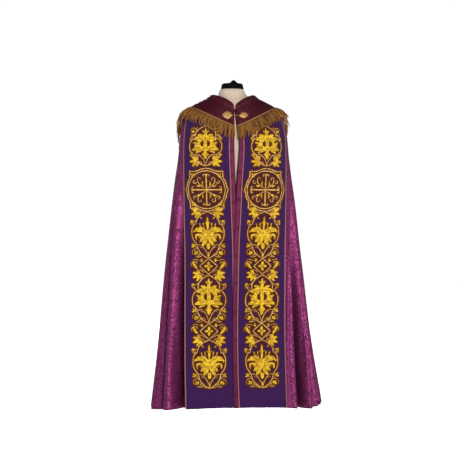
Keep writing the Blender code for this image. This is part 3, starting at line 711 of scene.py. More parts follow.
@dataclass(frozen=True)
class Damask(Finish):
    """Satin damask woven with scrolls: wave stems with a spiral in each bay, mirrored across the width."""

    lustre: float = 0.62
    ground_gloss: float = 0.40
    figure_gloss: float = 0.58
    pucker: float = 0.0017
    edge_strip: float = 0.0
    strip: Colour = (0.0, 0.0, 0.0)
    strip_shade: float = 0.95
    contrast: float = 0.60
    clouds: float = 0.0
    cloud_waves: float = 62.0
    crimp_waves: float = 150.0
    slub_waves: float = 300.0
    repeat_width: float = 0.150
    repeat_height: float = 0.128
    stem_swing: float = 0.26
    curl_at: float = 0.36
    curl_radius: float = 0.0235
    curl_pitch: float = 0.0150
    rosette_at: float = 0.86
    rosette_radius: float = 0.009
    line: float = 0.0018
    line_blur: float = 0.0008

    def curl(self, radius: Signal, angle: Signal, hand: int) -> Signal:
        """One spiral: where angle / turn + radius / pitch has a fraction near a half, inside its circle.

        Args:
            radius: The distance from its middle.
            angle: The angle there, in radians.
            hand: 1 or -1, the way it winds.

        Returns:
            1 on its arm.
        """
        winding = (radius / self.curl_pitch + angle / math.tau * hand + 0.25).fraction()
        arm_half = self.line / self.curl_pitch
        arm = (winding - 0.5).size().between(arm_half + 0.05, arm_half - 0.03)
        return arm * radius.between(self.curl_radius + 0.001, self.curl_radius - 0.001)

    def rosette(self, graph: Graph, radius: Signal, angle: Signal) -> Signal:
        """1 on a rosette of five lobes: inside rosette_radius (0.7 + 0.3 cos 5 angle)."""
        rim = graph.math("COSINE", angle * 5) * 0.3 * self.rosette_radius + 0.7 * self.rosette_radius
        return (radius - rim).between(self.line_blur, -self.line_blur)

    def figure_share(self, graph: Graph) -> Signal:
        """Where the woven figure lies: a waving stem, two spirals and two rosettes in each repeat.

        Args:
            graph: The material's tree.

        Returns:
            1 on the figure.
        """
        across, down = graph.metres()
        half, bay = self.repeat_width / 2, self.repeat_height / 4
        x = graph.math("PINGPONG", across, half)
        lean = graph.noise(graph.vector(across, down, 7.0), 3.0, 1.0) * 0.03
        turn = ((down + lean) / self.repeat_height).fraction()
        y = turn * self.repeat_height
        swing = turn.wave() * (half * self.stem_swing)
        off_stem = (x - swing - half * 0.5).size()
        figure = off_stem.between(self.line + self.line_blur, self.line - self.line_blur)
        for bays, hand in ((1, 1), (3, -1)):
            for share in (self.curl_at, self.rosette_at):
                dx, dy = x - half * (share if hand == 1 else 1 - share), y - bay * bays
                radius, angle = graph.math("SQRT", dx * dx + dy * dy), graph.math("ARCTAN2", dy, dx)
                if share == self.curl_at:
                    figure = figure.larger(self.curl(radius, angle, hand))
                else:
                    figure = figure.larger(self.rosette(graph, radius, angle))
        return figure

    def build(self) -> Material:
        """Mixes the colours and gives them their surface.

        Returns:
            The material.
        """
        graph = Graph(self.name)
        figure = self.figure_share(graph)
        across, down = graph.metres()
        shrink = graph.noise(graph.vector(across, down * 0.60, 0.0), self.crimp_waves, 3.0)
        slub = graph.noise(graph.vector(across * 2.0, down * 0.6, 4.0), self.slub_waves, 2.0)
        shade = graph.blend(shrink.between(0.38, 0.64) * 0.75, self.colour, self.other)
        colour = graph.blend(figure * self.contrast, shade, self.other)
        if self.clouds:
            cloud = graph.noise(graph.place(), self.cloud_waves, 2.0).between(0.40, 0.60)
            colour = graph.blend(cloud * self.clouds, colour, self.other)
        if self.edge_strip:
            strip = across.size().between(self.edge_strip + 0.002, self.edge_strip)
            colour = graph.blend(strip * self.strip_shade, colour, self.strip)
        graph.bump(shrink + slub * 0.35 + figure * 0.25, self.pucker)
        return graph.finish(
            base_color=colour,
            roughness=figure.level(self.ground_gloss, self.figure_gloss),
            metallic=self.lustre,
            specular_ior_level=0.3,
        )


@dataclass(frozen=True)
class Twill(Finish):
    """Matt woven cloth with slanting ribs, lightly rubbed."""

    rib: float = 0.0016
    roughness: float = 0.85
    sheen: float = 0.04
    cloud_waves: float = 35.0
    relief: float = 0.0005

    def build(self) -> Material:
        """Mixes the colours and gives them their surface.

        Returns:
            The material.
        """
        graph = Graph(self.name)
        across, down = graph.metres()
        ribs = (across + down).ribs(self.rib)
        cloud = graph.noise(graph.vector(across, down, 0.0), self.cloud_waves, 3.0)
        colour = graph.blend(cloud * 0.8 + ribs * 0.15, self.other, self.colour)
        graph.bump(ribs * 0.5 + cloud * 0.8, self.relief)
        return graph.finish(
            base_color=colour,
            roughness=self.roughness,
            sheen_weight=self.sheen,
            sheen_roughness=0.5,
            specular_ior_level=0.12,
        )


@dataclass(frozen=True)
class WovenBraid(Finish):
    """A narrow braid whose two threads cross in chevrons, with a painted glint, its lighter second colour, on
    the raised ribs.
    """

    chevron: float = 0.0050
    fine_rib: float = 0.0018
    relief: float = 0.0006

    def build(self) -> Material:
        """Mixes the colours and gives them their surface.

        Returns:
            The material.
        """
        graph = Graph(self.name)
        across, down = graph.metres()
        ribs = (down + across.size()).ribs(self.chevron)
        fine = (down * 2 - across).ribs(self.fine_rib)
        # The ribs take the lighter second colour: a painted glint on their crests.
        colour = graph.blend(ribs * 0.7 + fine * 0.2, self.colour, self.other)
        graph.bump(ribs * 0.7 + fine * 0.3, self.relief)
        return graph.finish(base_color=colour, roughness=0.5, metallic=0.15)


@dataclass(frozen=True)
class MetalThread(Finish):
    """Thread wound with metal, laid in close rows across the shape that it covers."""

    metallic: float = 0.45
    roughness: float = 0.38
    pitch: float = 0.0016
    patch_waves: float = 90.0
    relief: float = 0.0004

    def build(self) -> Material:
        """Mixes the colours and gives them their surface.

        Returns:
            The material.
        """
        graph = Graph(self.name)
        across, down = graph.metres()
        rows = down.ribs(self.pitch)
        patches = graph.noise(graph.place(), self.patch_waves, 2.0)
        share = patches.between(0.36, 0.62) * 0.8 + rows * 0.2
        colour = graph.blend(share, self.other, self.colour)
        graph.bump(rows * 0.6 + patches * 0.4, self.relief)
        return graph.finish(base_color=colour, roughness=self.roughness, metallic=self.metallic)


@dataclass(frozen=True)
class SatinStitch(Finish):
    """Gold thread laid in slanting rows from a leaf's middle vein, darker there and at its foot, with patches
    of painted shade where its stitches would catch less light.
    """

    pitch: float = 0.0013
    slant: float = 0.9
    sheen_patch_waves: float = 75.0
    relief: float = 0.0004
    foot: float = 0.008
    vein: float = 0.0010
    metallic: float = 0.30
    roughness: float = 0.42

    def build(self) -> Material:
        """Mixes the colours and gives them their surface.

        Returns:
            The material.
        """
        graph = Graph(self.name)
        across, down = graph.metres()
        rows = (down + across.size() * self.slant).ribs(self.pitch)
        vein = across.size().between(self.vein, self.vein * 0.3)
        foot = down.between(self.foot, self.foot * 0.1)
        # Painted shade and sheen: noise darkens patches of the gold as if its stitches were tilted from the
        # light.
        light = graph.noise(graph.place(), self.sheen_patch_waves, 2.0)
        dark = (foot * 0.75).larger(vein * 0.65) + light.between(0.60, 0.38) * 0.55 + rows * 0.12
        graph.bump(rows * 0.7 + light * 0.3, self.relief)
        return graph.finish(
            base_color=graph.blend(dark.smaller(1.0), self.colour, self.other),
            roughness=self.roughness,
            metallic=self.metallic,
            specular_ior_level=0.2,
        )


@dataclass(frozen=True)
class BullionThread(Finish):
    """Twisted bullion: each strand has its own tone, which its U carries, and dark bands of painted shade for
    the grooves of its twist.
    """

    twist: float = 0.0040
    wear_waves: float = 160.0
    relief: float = 0.0006
    metallic: float = 0.35
    roughness: float = 0.42

    def build(self) -> Material:
        """Mixes the colours and gives them their surface.

        Returns:
            The material.
        """
        graph = Graph(self.name)
        tone, down = graph.metres()
        rows = (down + tone * 0.05).ribs(self.twist)
        worn = graph.noise(graph.place(), self.wear_waves, 2.0)
        # rows darkens bands along the twist: painted shade for its grooves.
        dark = tone * 0.75 + rows * 0.25 + worn.between(0.40, 0.65) * 0.25 - 0.1
        graph.bump(rows, self.relief)
        return graph.finish(
            base_color=graph.blend(dark.smaller(1.0), self.colour, self.other),
            roughness=self.roughness,
            metallic=self.metallic,
            specular_ior_level=0.2,
        )


@dataclass(frozen=True)
class CastMetal(Finish):
    """Cast and gilded metal, duller in its hollows."""

    roughness: float = 0.32
    metallic: float = 1.0
    patina_waves: float = 220.0
    relief: float = 0.0003

    def build(self) -> Material:
        """Mixes the colours and gives them their surface.

        Returns:
            The material.
        """
        graph = Graph(self.name)
        patina = graph.noise(graph.place(), self.patina_waves, 3.0)
        colour = graph.blend(patina.between(0.35, 0.65), self.other, self.colour)
        graph.bump(patina, self.relief, 0.6)
        gloss = patina.level(self.roughness - 0.08, self.roughness + 0.14)
        return graph.finish(base_color=colour, roughness=gloss, metallic=self.metallic)


@dataclass(frozen=True)
class Linen(Finish):
    """Plain cream cover cloth of a dress form, with a seam round the foot of its neck."""

    seam_height: float
    seam_half: float = 0.0009
    seam_tilt: float = 0.10
    threads: float = 700.0
    cloud_waves: float = 18.0
    relief: float = 0.0006

    def build(self) -> Material:
        """Mixes the colours and gives them their surface.

        Returns:
            The material.
        """
        graph = Graph(self.name)
        place = graph.place()
        x, y, z = graph.parts(place)
        weave = (x * self.threads).wave() * 0.25 + (z * self.threads).wave() * 0.25 + 0.5
        cloud = graph.noise(place, self.cloud_waves, 3.0)
        off_seam = (z - self.seam_height - y * self.seam_tilt).size()
        seam = off_seam.between(self.seam_half * 1.8, self.seam_half)
        colour = graph.blend(cloud * 0.5 + seam * 0.4 + weave * 0.06, self.colour, self.other)
        graph.bump(weave * 0.25 + cloud * 0.3 - seam * 0.8, self.relief)
        return graph.finish(base_color=colour, roughness=0.9, sheen_weight=0.2)


@dataclass(frozen=True)
class Lacquer(Finish):
    """A hard dark or metal surface, slightly uneven and faintly scuffed, with a painted glow where one is
    given.
    """

    roughness: float
    metallic: float = 0.0
    shine: float = 0.5
    # glow is painted light: an emission that brightens the surface though it is no lamp.
    glow: float = 0.0
    painted_glow_colour: Colour = (1.0, 1.0, 0.99)
    mark_waves: float = 140.0
    cloud_waves: float = 12.0
    relief: float = 0.0004

    def build(self) -> Material:
        """Mixes the colours and gives them their surface.

        Returns:
            The material.
        """
        graph = Graph(self.name)
        place = graph.place()
        marks = graph.noise(place, self.mark_waves, 4.0)
        cloud = graph.noise(place, self.cloud_waves, 2.0)
        colour = graph.blend(marks.between(0.58, 0.75), self.colour, self.other)
        graph.bump(marks * 0.4 + cloud * 0.6, self.relief, 0.5)
        gloss = cloud.level(self.roughness - 0.08, self.roughness + 0.08)
        return graph.finish(
            base_color=colour,
            roughness=gloss,
            metallic=self.metallic,
            specular_ior_level=self.shine,
            emission_color=self.painted_glow_colour,
            emission_strength=self.glow,
        )


class Stuff(Enum):
    """The garment's and the form's materials: a finish each, and the name of its slot."""

    BODY_DAMASK = (
        Damask("body_damask", (0.198, 0.031, 0.114), (0.068, 0.008, 0.040), 0.86, 0.50, 0.60), "damask"
    )
    FRONT_DAMASK = (
        replace(BODY_DAMASK[0], name="front_damask", edge_strip=0.024, strip=(0.059, 0.0068, 0.0235)),
        "damask",
    )
    HOOD_DAMASK = (
        Damask("hood_damask", (0.112, 0.0056, 0.020), (0.026, 0.0014, 0.0048), 0.55, 0.52, 0.62, clouds=0.64),
        "hood_damask",
    )
    VIOLET_TWILL = (Twill("violet_twill", (0.036, 0.0075, 0.066), (0.026, 0.0055, 0.050)), "orphrey_violet")
    # The braid's second colour is a painted glint on its ribs.
    PINK_BRAID = (WovenBraid("pink_braid", (0.205, 0.052, 0.070), (0.370, 0.160, 0.125)), "braid")
    GOLD_THREAD = (SatinStitch("gold_thread", (0.760, 0.490, 0.022), (0.260, 0.108, 0.004)), "gold_fringe")
    TAN_THREAD = (MetalThread("tan_thread", (0.650, 0.390, 0.125), (0.360, 0.180, 0.045)), "gold_fringe")
    # Dark maroon thread: the palmettes' eyes and veins, and the underlay round the gold, which is partly
    # painted shadow.
    SHADOW_THREAD = (
        Twill("shadow_thread", (0.098, 0.020, 0.003), (0.052, 0.009, 0.002), 0.0010), "orphrey_violet"
    )
    BULLION = (BullionThread("bullion", (0.500, 0.222, 0.045), (0.070, 0.019, 0.003)), "gold_fringe")
    # The heading's second colour is a painted glint on its ribs.
    HEADING_BRAID = (WovenBraid("heading_braid", (0.22, 0.08, 0.032), (0.36, 0.17, 0.06)), "gold_fringe")
    GILT = (CastMetal("gilt", (0.430, 0.240, 0.075), (0.210, 0.095, 0.025), 0.50, 0.45), "gilt_clasp")
    COVER = (Linen("cream_cover", (0.528, 0.412, 0.328), (0.390, 0.315, 0.252), 1.4630), "form_cover")
    BLACK = (
        Lacquer("black_lacquer", (0.0016, 0.0012, 0.0012), (0.004, 0.003, 0.003), 0.66, shine=0.06),
        "form_black",
    )
    STEEL = (Lacquer("satin_steel", (0.500, 0.500, 0.510), (0.330, 0.330, 0.340), 0.34, 1.0), "steel")
    # The foot's glow is painted light that lifts it out of the shade under the hem.
    FOOT_PAINT = (
        Lacquer("foot_paint", (0.800, 0.800, 0.790), (0.780, 0.780, 0.770), 0.75, shine=0.05, glow=0.35),
        "foot_white",
    )

    def __init__(self, finish: Finish, slot: str) -> None:
        """Gives the two their own names."""
        self.finish, self.slot = finish, slot


@cache
def material(stuff: Stuff) -> Material:
    """The material of that stuff, made on the first call."""
    return stuff.finish.build()


def add_piece(name: str, mesh: bpy.types.Mesh, stuff: Stuff, stands_for: Sequence[str] = ()) -> Piece:
    """Puts a mesh into the scene as a piece of the object.

    Args:
        name: The piece's name.
        mesh: Its mesh, in place.
        stuff: What it is made of.
        stands_for: CAD nodes that it replaces.

    Returns:
        The piece.
    """
    piece = bpy.data.objects.new(name, mesh)
    bpy.context.scene.collection.objects.link(piece)
    mesh.materials.append(material(stuff))
    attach(piece, ROOT)
    if stands_for:
        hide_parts(*stands_for)
    log.info("%s: %d points", name, len(mesh.vertices))
    return piece


def add_cloth(
    name: str, grid: Array, uv: Array, wall: float, stuff: Stuff, stands_for: Sequence[str] = ()
) -> Piece:
    """Puts a grid into the scene as a cloth, with its wall behind its face.

    Args:
        name: The piece's name.
        grid: The face's points, as rows, columns, 3.
        uv: A UV for each point.
        wall: The wall's thickness.
        stuff: What it is made of.
        stands_for: CAD nodes that it replaces.

    Returns:
        The piece.
    """
    piece = add_piece(name, fill_mesh(name, grid, [grid_faces(*grid.shape[:2])], uv), stuff, stands_for)
    shell = piece.modifiers.new("wall", "SOLIDIFY")
    shell.thickness = wall
    shell.offset = -1
    shell.use_even_offset = True
    return piece


def add_tubes(name: str, rings: Array, uv: Array, stuff: Stuff, stands_for: Sequence[str] = ()) -> Piece:
    """Puts closed tubes, given as tubes, stations, around, 3, into the scene as one piece."""
    return add_piece(name, fill_mesh(name, rings, tube_faces(*rings.shape[:3]), uv), stuff, stands_for)


# --- Studio ---


class Lamp(NamedTuple):
    """A square soft light that faces a point."""

    name: str
    place: Place
    aim: Place
    size: float
    power: float
    colour: Colour = (1.0, 1.0, 1.0)


LAMPS = (
    #    name          place               aim                size  power
    Lamp("key",        (0.35, -6.4, 2.1),  (0.0, 0.0, 0.75),  0.9,  440.0, (1.0, 0.985, 0.96)),
    Lamp("fill",       (-3.2, -4.2, 1.4),  (0.0, 0.0, 0.8),   1.8,  25.0),
    Lamp("back",       (-0.6, 5.6, 2.3),   (0.0, 0.0, 0.8),   1.6,  190.0, (1.0, 0.99, 0.97)),
    Lamp("side_right", (-5.2, 0.4, 1.6),   (0.0, 0.0, 0.8),   2.0,  70.0),
    Lamp("side_left",  (5.2, 0.4, 1.6),    (0.0, 0.0, 0.8),   2.0,  70.0),
    Lamp("under",      (0.0, -0.03, 0.55), (0.0, -0.09, 0.0), 0.10, 7.0),
)


@dataclass
class Studio:
    """Camera, lights, pale floor and backdrop."""

    azimuth: float = -6.0
    distance: float = 6.5
    height: float = 0.90
    aim_height: float = 0.8479
    picture_width: int = 458
    metres_per_pixel: float = 0.0047
    axis_pixel: float = 233.5
    sensor: float = 36.0
    floor_reach: float = 9.0
    floor_grey: float = 0.55
    floor_glow: float = 1.02
    floor_light: float = 0.22
    backdrop_glow: float = 1.02
    ambient: float = 0.12

    def add_camera(self) -> None:
        """A camera on a stand before the garment, framed so that the object's axis falls on its pixel."""
        turn = math.radians(self.azimuth)
        place = Vector((self.distance * math.sin(turn), -self.distance * math.cos(turn), self.height))
        right = Vector((math.cos(turn), math.sin(turn), 0.0))
        off_axis = (self.axis_pixel - self.picture_width / 2) * self.metres_per_pixel
        aim = Vector((0.0, 0.0, self.aim_height)) - right * off_axis
        data = bpy.data.cameras.new("camera")
        data.sensor_width = self.sensor
        data.lens = self.sensor * (aim - place).length / (self.picture_width * self.metres_per_pixel)
        camera = bpy.data.objects.new("camera", data)
        camera.location = place
        camera.rotation_euler = (aim - place).to_track_quat("-Z", "Y").to_euler()
        bpy.context.scene.collection.objects.link(camera)
        bpy.context.scene.camera = camera

    def add_light(self, lamp: Lamp) -> None:
        """Hangs one light.

        Args:
            lamp: The light.
        """
        data = bpy.data.lights.new(lamp.name, "AREA")
        data.size = lamp.size
        data.energy = lamp.power
        data.color = lamp.colour
        light = bpy.data.objects.new(lamp.name, data)
        light.location = lamp.place
        light.rotation_euler = (Vector(lamp.aim) - Vector(lamp.place)).to_track_quat("-Z", "Y").to_euler()
        bpy.context.scene.collection.objects.link(light)

    def add_floor(self) -> None:
        """A wide pale floor."""
        corners = np.array([(-1, -1, 0), (1, -1, 0), (1, 1, 0), (-1, 1, 0)]) * self.floor_reach
        mesh = fill_mesh("floor", corners, [np.array([[0, 1, 2, 3]])], corners[:, :2])
        floor = bpy.data.objects.new("floor", mesh)
        graph = Graph("pale_floor")
        seen = graph.result("ShaderNodeLightPath", {}, "Is Camera Ray")
        paper = graph.finish(
            base_color=(self.floor_grey,) * 3,
            roughness=0.9,
            specular_ior_level=0.0,
            emission_color=(1.0, 1.0, 1.0),
            emission_strength=seen * (self.floor_glow - self.floor_light) + self.floor_light,
        )
        mesh.materials.append(paper)
        bpy.context.scene.collection.objects.link(floor)

    def add_world(self) -> None:
        """A white backdrop that lights the object only softly."""
        world = bpy.data.worlds.new("studio")
        world.use_nodes = True
        tree = world.node_tree
        background = tree.nodes["Background"]
        background.inputs["Color"].default_value = (1.0, 1.0, 1.0, 1.0)
        seen = tree.nodes.new("ShaderNodeLightPath")
        glow = tree.nodes.new("ShaderNodeMapRange")
        glow.inputs["To Min"].default_value = self.ambient
        glow.inputs["To Max"].default_value = self.backdrop_glow
        tree.links.new(seen.outputs["Is Camera Ray"], glow.inputs["Value"])
        tree.links.new(glow.outputs["Result"], background.inputs["Strength"])
        bpy.context.scene.world = world

    def build(self) -> None:
        """Everything round the object."""
        self.add_camera()
        self.add_floor()
        for lamp in LAMPS:
            self.add_light(lamp)
        self.add_world()
        bpy.context.scene.view_settings.view_transform = "Standard"


# --- The cope ---


class Band(Enum):
    """What lies along a front edge, from the edge outwards."""

    STRIP = 0
    INNER_BRAID = 1
    ORPHREY = 2
    OUTER_BRAID = 3


@dataclass
class Cope:
    """The semicircle of cloth, in three panels, that hangs from neck to hem in pipe folds."""

    wall: float = 0.0020
    seam_gap: float = 0.0003
    seam_opening: float = 0.00003
    edge_strip: float = 0.021
    braid_width: float = 0.005
    orphrey_width: float = 0.218
    band_share_at_neck: float = 0.60
    lap_reach: float = 0.085
    fold_depth: float = 0.040
    strip_cells: int = 5
    braid_cells: int = 2
    orphrey_cells: int = 26
    half_fold_cells: int = 10
    short_fold_cells: int = 4
    short_fold: float = 0.03
    past_centre: float = 0.4
    ring_steps: int = 2400
    way_step: float = 0.001
    rows: int = 210
    ripple: float = 0.0012
    ripple_round: tuple[float, float] = (61.0, 23.0)
    ripple_down: tuple[float, float] = (9.0, 7.0)
    quiet_share: float = 0.012
    creases_end: float = 1.30
    creases_fade: float = 0.25
    face: Array = field(init=False)
    rows_down: Array = field(init=False)
    knots: Array = field(init=False)
    pieces: dict[str, Piece] = field(default_factory=dict)

    @property
    def band_width(self) -> float:
        """Width of all that lies between the front edge and the plain damask."""
        return self.edge_strip + 2 * self.braid_width + self.orphrey_width

    @property
    def band_cells(self) -> tuple[int, ...]:
        """Columns of cells in each of the four bands."""
        return self.strip_cells, self.braid_cells, self.orphrey_cells, self.braid_cells

    def band_offsets(self) -> Array:
        """Lengths from the front edge to each column of the bands.

        Returns:
            The lengths on flat cloth.
        """
        stops, start = [np.array([0.0])], 0.0
        widths = (self.edge_strip, self.braid_width, self.orphrey_width, self.braid_width)
        for width, count in zip(widths, self.band_cells):
            stops.append(start + width * np.arange(1, count + 1) / count)
            start += width
        return np.concatenate(stops)

    def columns_of(self, band: Band) -> tuple[int, int]:
        """First and last column of a band."""
        return sum(self.band_cells[: band.value]), sum(self.band_cells[: band.value + 1])

    def fold_columns(self, side: int) -> tuple[Array, Array]:
        """The columns of the plain damask, on half cosines from valley to ridge.

        Args:
            side: The half.

        Returns:
            Each column's share of the way to the centre back, and its reach as a share of the fold depth.
        """
        turns = [(0.0, 0.0)]
        for fold in FOLDS[side]:
            turns += [(fold.valley_at, -fold.valley_in), (fold.ridge_at, fold.ridge_out)]
        turns += [(LAST_VALLEY[side][0], -LAST_VALLEY[side][1]), (1.0, CENTRE_BACK_OUT)]
        shares, reach = [], []
        for (start, start_out), (end, end_out) in zip(turns, turns[1:]):
            cells = self.half_fold_cells if end - start > self.short_fold else self.short_fold_cells
            part = np.arange(1, cells + 1) / cells
            shares.append(start + (end - start) * part)
            reach.append(start_out + (end_out - start_out) * (1 - np.cos(math.pi * part)) / 2)
        return np.concatenate(shares), np.concatenate(reach)

    def middle_column(self) -> int:
        """Column of the centre back."""
        return len(self.band_offsets()) + len(self.fold_columns(RIGHT)[0]) - 1

    def seam_column(self, side: int) -> int:
        """The side seam's place, at the bottom of a fold's valley.

        Args:
            side: The half.

        Returns:
            Its column, from the front edge.
        """
        shares, _ = self.fold_columns(side)
        valley = FOLDS[side][SEAM_VALLEY[side]].valley_at
        return len(self.band_offsets()) + int(np.argmin(np.abs(shares - valley)))

    def half(self, side: int) -> Array:
        """One half of the face on the level rings: each is read by length, then moved out by the folds.

        Args:
            side: The half.

        Returns:
            Points as rings, columns, 3, from the front edge to the centre back.
        """
        turn = np.linspace(-self.past_centre, math.pi, self.ring_steps)
        offsets = self.band_offsets()
        shares, reach = self.fold_columns(side)
        rows = []
        for section in COPE_SECTIONS:
            hang = COPE_HANG[section.name]
            line = ring_points(section, turn)
            along = lengths_along(line)
            along -= np.interp(0.0, turn, along)
            squeeze = min(1.0, self.band_share_at_neck * along[-1] / self.band_width)
            start = hang.edge + side * hang.drift
            band = start + offsets * squeeze
            wanted = np.concatenate([band, band[-1] + shares * (along[-1] - band[-1])])
            points = at_lengths(line, along, wanted)
            after = at_lengths(line, along, wanted + self.way_step)
            way = after - at_lengths(line, along, wanted - self.way_step)
            out = unit(np.stack([way[:, 1], -way[:, 0]], axis=-1))
            move = np.concatenate([np.zeros(len(band)), self.fold_depth * hang.fold * reach])
            if side == LEFT:
                move = move + hang.lap * smooth(1 - (wanted - start) / self.lap_reach)
            points[:, :2] += out * move[:, None]
            points[:, 0] = section.centre_x + side * points[:, 0]
            rows.append(points)
        return np.array(rows)

    def creased(self, half: Array, side: int) -> Array:
        """One half with its creases: each moves the face in along its normal, fading by a bell curve.

        Args:
            half: Points as rows, columns, 3.
            side: The half that they are of.

        Returns:
            The creased points.
        """
        first = len(self.band_offsets()) - 1
        damask = half[:, first:]
        shares = np.concatenate([[0.0], self.fold_columns(side)[0]])
        way = lengths_along(damask)[:, -1:]
        height = damask[..., 2]
        depth = np.zeros_like(height)
        for crease in CREASES[side]:
            above = height - crease.height
            across = (shares - crease.share - crease.lean * above) * way
            depth += crease.depth * np.exp(-((across / crease.width) ** 2) - (above / crease.length) ** 2)
        ripple = np.sin(way * shares * self.ripple_round[0] + height * self.ripple_down[0])
        ripple *= np.sin(shares * self.ripple_round[1] + height * self.ripple_down[1])
        depth += self.ripple * ripple
        depth *= smooth(np.minimum(shares / self.quiet_share, (1 - shares) / self.quiet_share))
        depth *= smooth((self.creases_end - height) / self.creases_fade)
        creased = half.copy()
        creased[:, first:] -= face_normals(half, side)[:, first:] * depth[..., None]
        lift = HEM_LIFTS[side]
        near = np.exp(-(((shares - lift.share) / lift.reach) ** 2))
        creased[:, first:, 2] += lift.lift * near * smooth(1 - height / HEM_LIFT_HEIGHT)
        return creased

    def shape(self) -> None:
        """Works out the dense face of the whole cope."""
        coarse = joined_halves(self.half(RIGHT), self.half(LEFT))
        self.knots = lengths_along(coarse.transpose(1, 0, 2)).mean(axis=0)
        self.rows_down = np.linspace(0.0, self.knots[-1], self.rows + 1)
        face = through_rows(coarse, self.knots, self.rows_down)
        middle = self.middle_column()
        right = self.creased(face[:, : middle + 1], RIGHT)
        left = self.creased(face[:, middle:][:, ::-1], LEFT)
        self.face = joined_halves(right, left)

    def build(self) -> None:
        """The three panels, each a cloth piece in place of its CAD node."""
        self.shape()
        last = self.face.shape[1] - 1
        right_seam, left_seam = self.seam_column(RIGHT), last - self.seam_column(LEFT)
        centre = right_seam + (left_seam - right_seam) // 2
        columns = ((0, right_seam, 0), (right_seam, left_seam, centre), (left_seam, last, last))
        for (name, flat, area), (first, end, origin) in zip(PANELS, columns):
            grid = drawn_in(self.face[:, first : end + 1], self.seam_opening)
            uv = cloth_metres(grid, origin - first)
            damask = Stuff.BODY_DAMASK if name == "cope_back" else Stuff.FRONT_DAMASK
            piece = add_cloth(name + "_cloth", grid, uv, self.wall, damask, [name])
            self.pieces[name] = piece


@dataclass
class FrontBands:
    """What is sewn along both front edges: the violet orphreys between two narrow braids."""

    cope: Cope
    orphrey_wall: float = 0.0012
    braid_wall: float = 0.0018
    braid_dome: float = 0.0004
    first_section: int = 2
    orphrey_length: float = 1.40
    faces: dict[int, Array] = field(default_factory=dict)

    def base(self, side: int) -> Array:
        """The face of the cope under the bands.

        Args:
            side: The half.

        Returns:
            Points as rows, columns, 3, with column 0 at the front edge.
        """
        top = int(np.searchsorted(self.cope.rows_down, self.cope.knots[self.first_section]))
        face = self.cope.face[top:]
        return (face if side == RIGHT else face[:, ::-1])[:, : len(self.cope.band_offsets()) + 1]

    def strip(self, side: int, band: Band, wall: float, dome: float = 0.0) -> Array:
        """The face of one sewn-on strip: the cope's own points moved out, with a dome across its width.

        Args:
            side: The half.
            band: Which strip.
            wall: Its thickness.
            dome: How much higher its middle is than its sides.

        Returns:
            Points as rows, columns, 3.
        """
        points = self.base(side)
        first, end = self.cope.columns_of(band)
        share = np.linspace(-1, 1, end - first + 1)
        height = self.cope.seam_gap + wall + dome * (1 - share**2)
        outward = face_normals(points, side)[:, first : end + 1] * height[None, :, None]
        return drawn_in(points[:, first : end + 1] + outward, self.cope.seam_gap / 2)

    def add_strip(self, name: str, side: int, grid: Array, wall: float, stuff: Stuff) -> Piece:
        """Sews a strip on as a piece of cloth.

        Args:
            name: The CAD node that it stands for.
            side: The half.
            grid: Its face, from strip.
            wall: Its thickness.
            stuff: What it is made of.

        Returns:
            The piece.
        """
        if side == LEFT:
            grid = grid[:, ::-1]
        uv = cloth_metres(grid, grid.shape[1] // 2)
        return add_cloth(name + "_cloth", grid, uv, wall, stuff, [name])

    def build(self) -> None:
        """Orphreys and braids of both sides."""
        for side, word in SIDES:
            grid = self.strip(side, Band.ORPHREY, self.orphrey_wall)
            self.faces[side] = grid
            orphrey = self.add_strip(f"orphrey_{word}", side, grid, self.orphrey_wall, Stuff.VIOLET_TWILL)
            for name, band in (("braid_inner", Band.INNER_BRAID), ("braid_outer", Band.OUTER_BRAID)):
                grid = self.strip(side, band, self.braid_wall, self.braid_dome)
                self.add_strip(f"{name}_{word}", side, grid, self.braid_wall, Stuff.PINK_BRAID)


# --- Embroidery ---


class Taper(Enum):
    """How a stroke's width changes along it: shares of its length, and of its full width there."""

    LOBE = ((0.0, 0.35), (0.15, 0.70), (0.42, 1.0), (0.66, 0.88), (0.86, 0.50), (1.0, 0.05))
    LEAF = ((0.0, 0.05), (0.20, 0.62), (0.45, 1.0), (0.70, 0.74), (0.88, 0.32), (1.0, 0.03))
    SPEAR = ((0.0, 0.70), (0.25, 0.80), (0.45, 1.0), (0.65, 0.74), (0.85, 0.44), (1.0, 0.10))
    DROP = ((0.0, 0.25), (0.12, 0.70), (0.35, 1.0), (0.70, 0.80), (0.92, 0.45), (1.0, 0.08))
    ROUND = ((0.0, 0.10), (0.10, 0.62), (0.30, 0.94), (0.50, 1.0), (0.70, 0.94), (0.90, 0.62), (1.0, 0.10))
    CORD = ((0.0, 0.70), (0.04, 1.0), (0.96, 1.0), (1.0, 0.70))
    TAIL = ((0.0, 1.0), (0.55, 0.90), (1.0, 0.45))

    def at(self, share: Array) -> Array:
        """The width at each share of the length."""
        knots, widths = np.array(self.value).T
        return np.interp(share, knots, widths)


class Thread(Enum):
    """The embroidery's threads: the name of their pieces, and their stuff."""

    GOLD = ("gold_leaves", Stuff.GOLD_THREAD)
    TAN = ("tan_lines", Stuff.TAN_THREAD)
    DARK = ("dark_eyes", Stuff.SHADOW_THREAD)

    def __init__(self, label: str, stuff: Stuff) -> None:
        """Gives the two their own names."""
        self.label, self.stuff = label, stuff


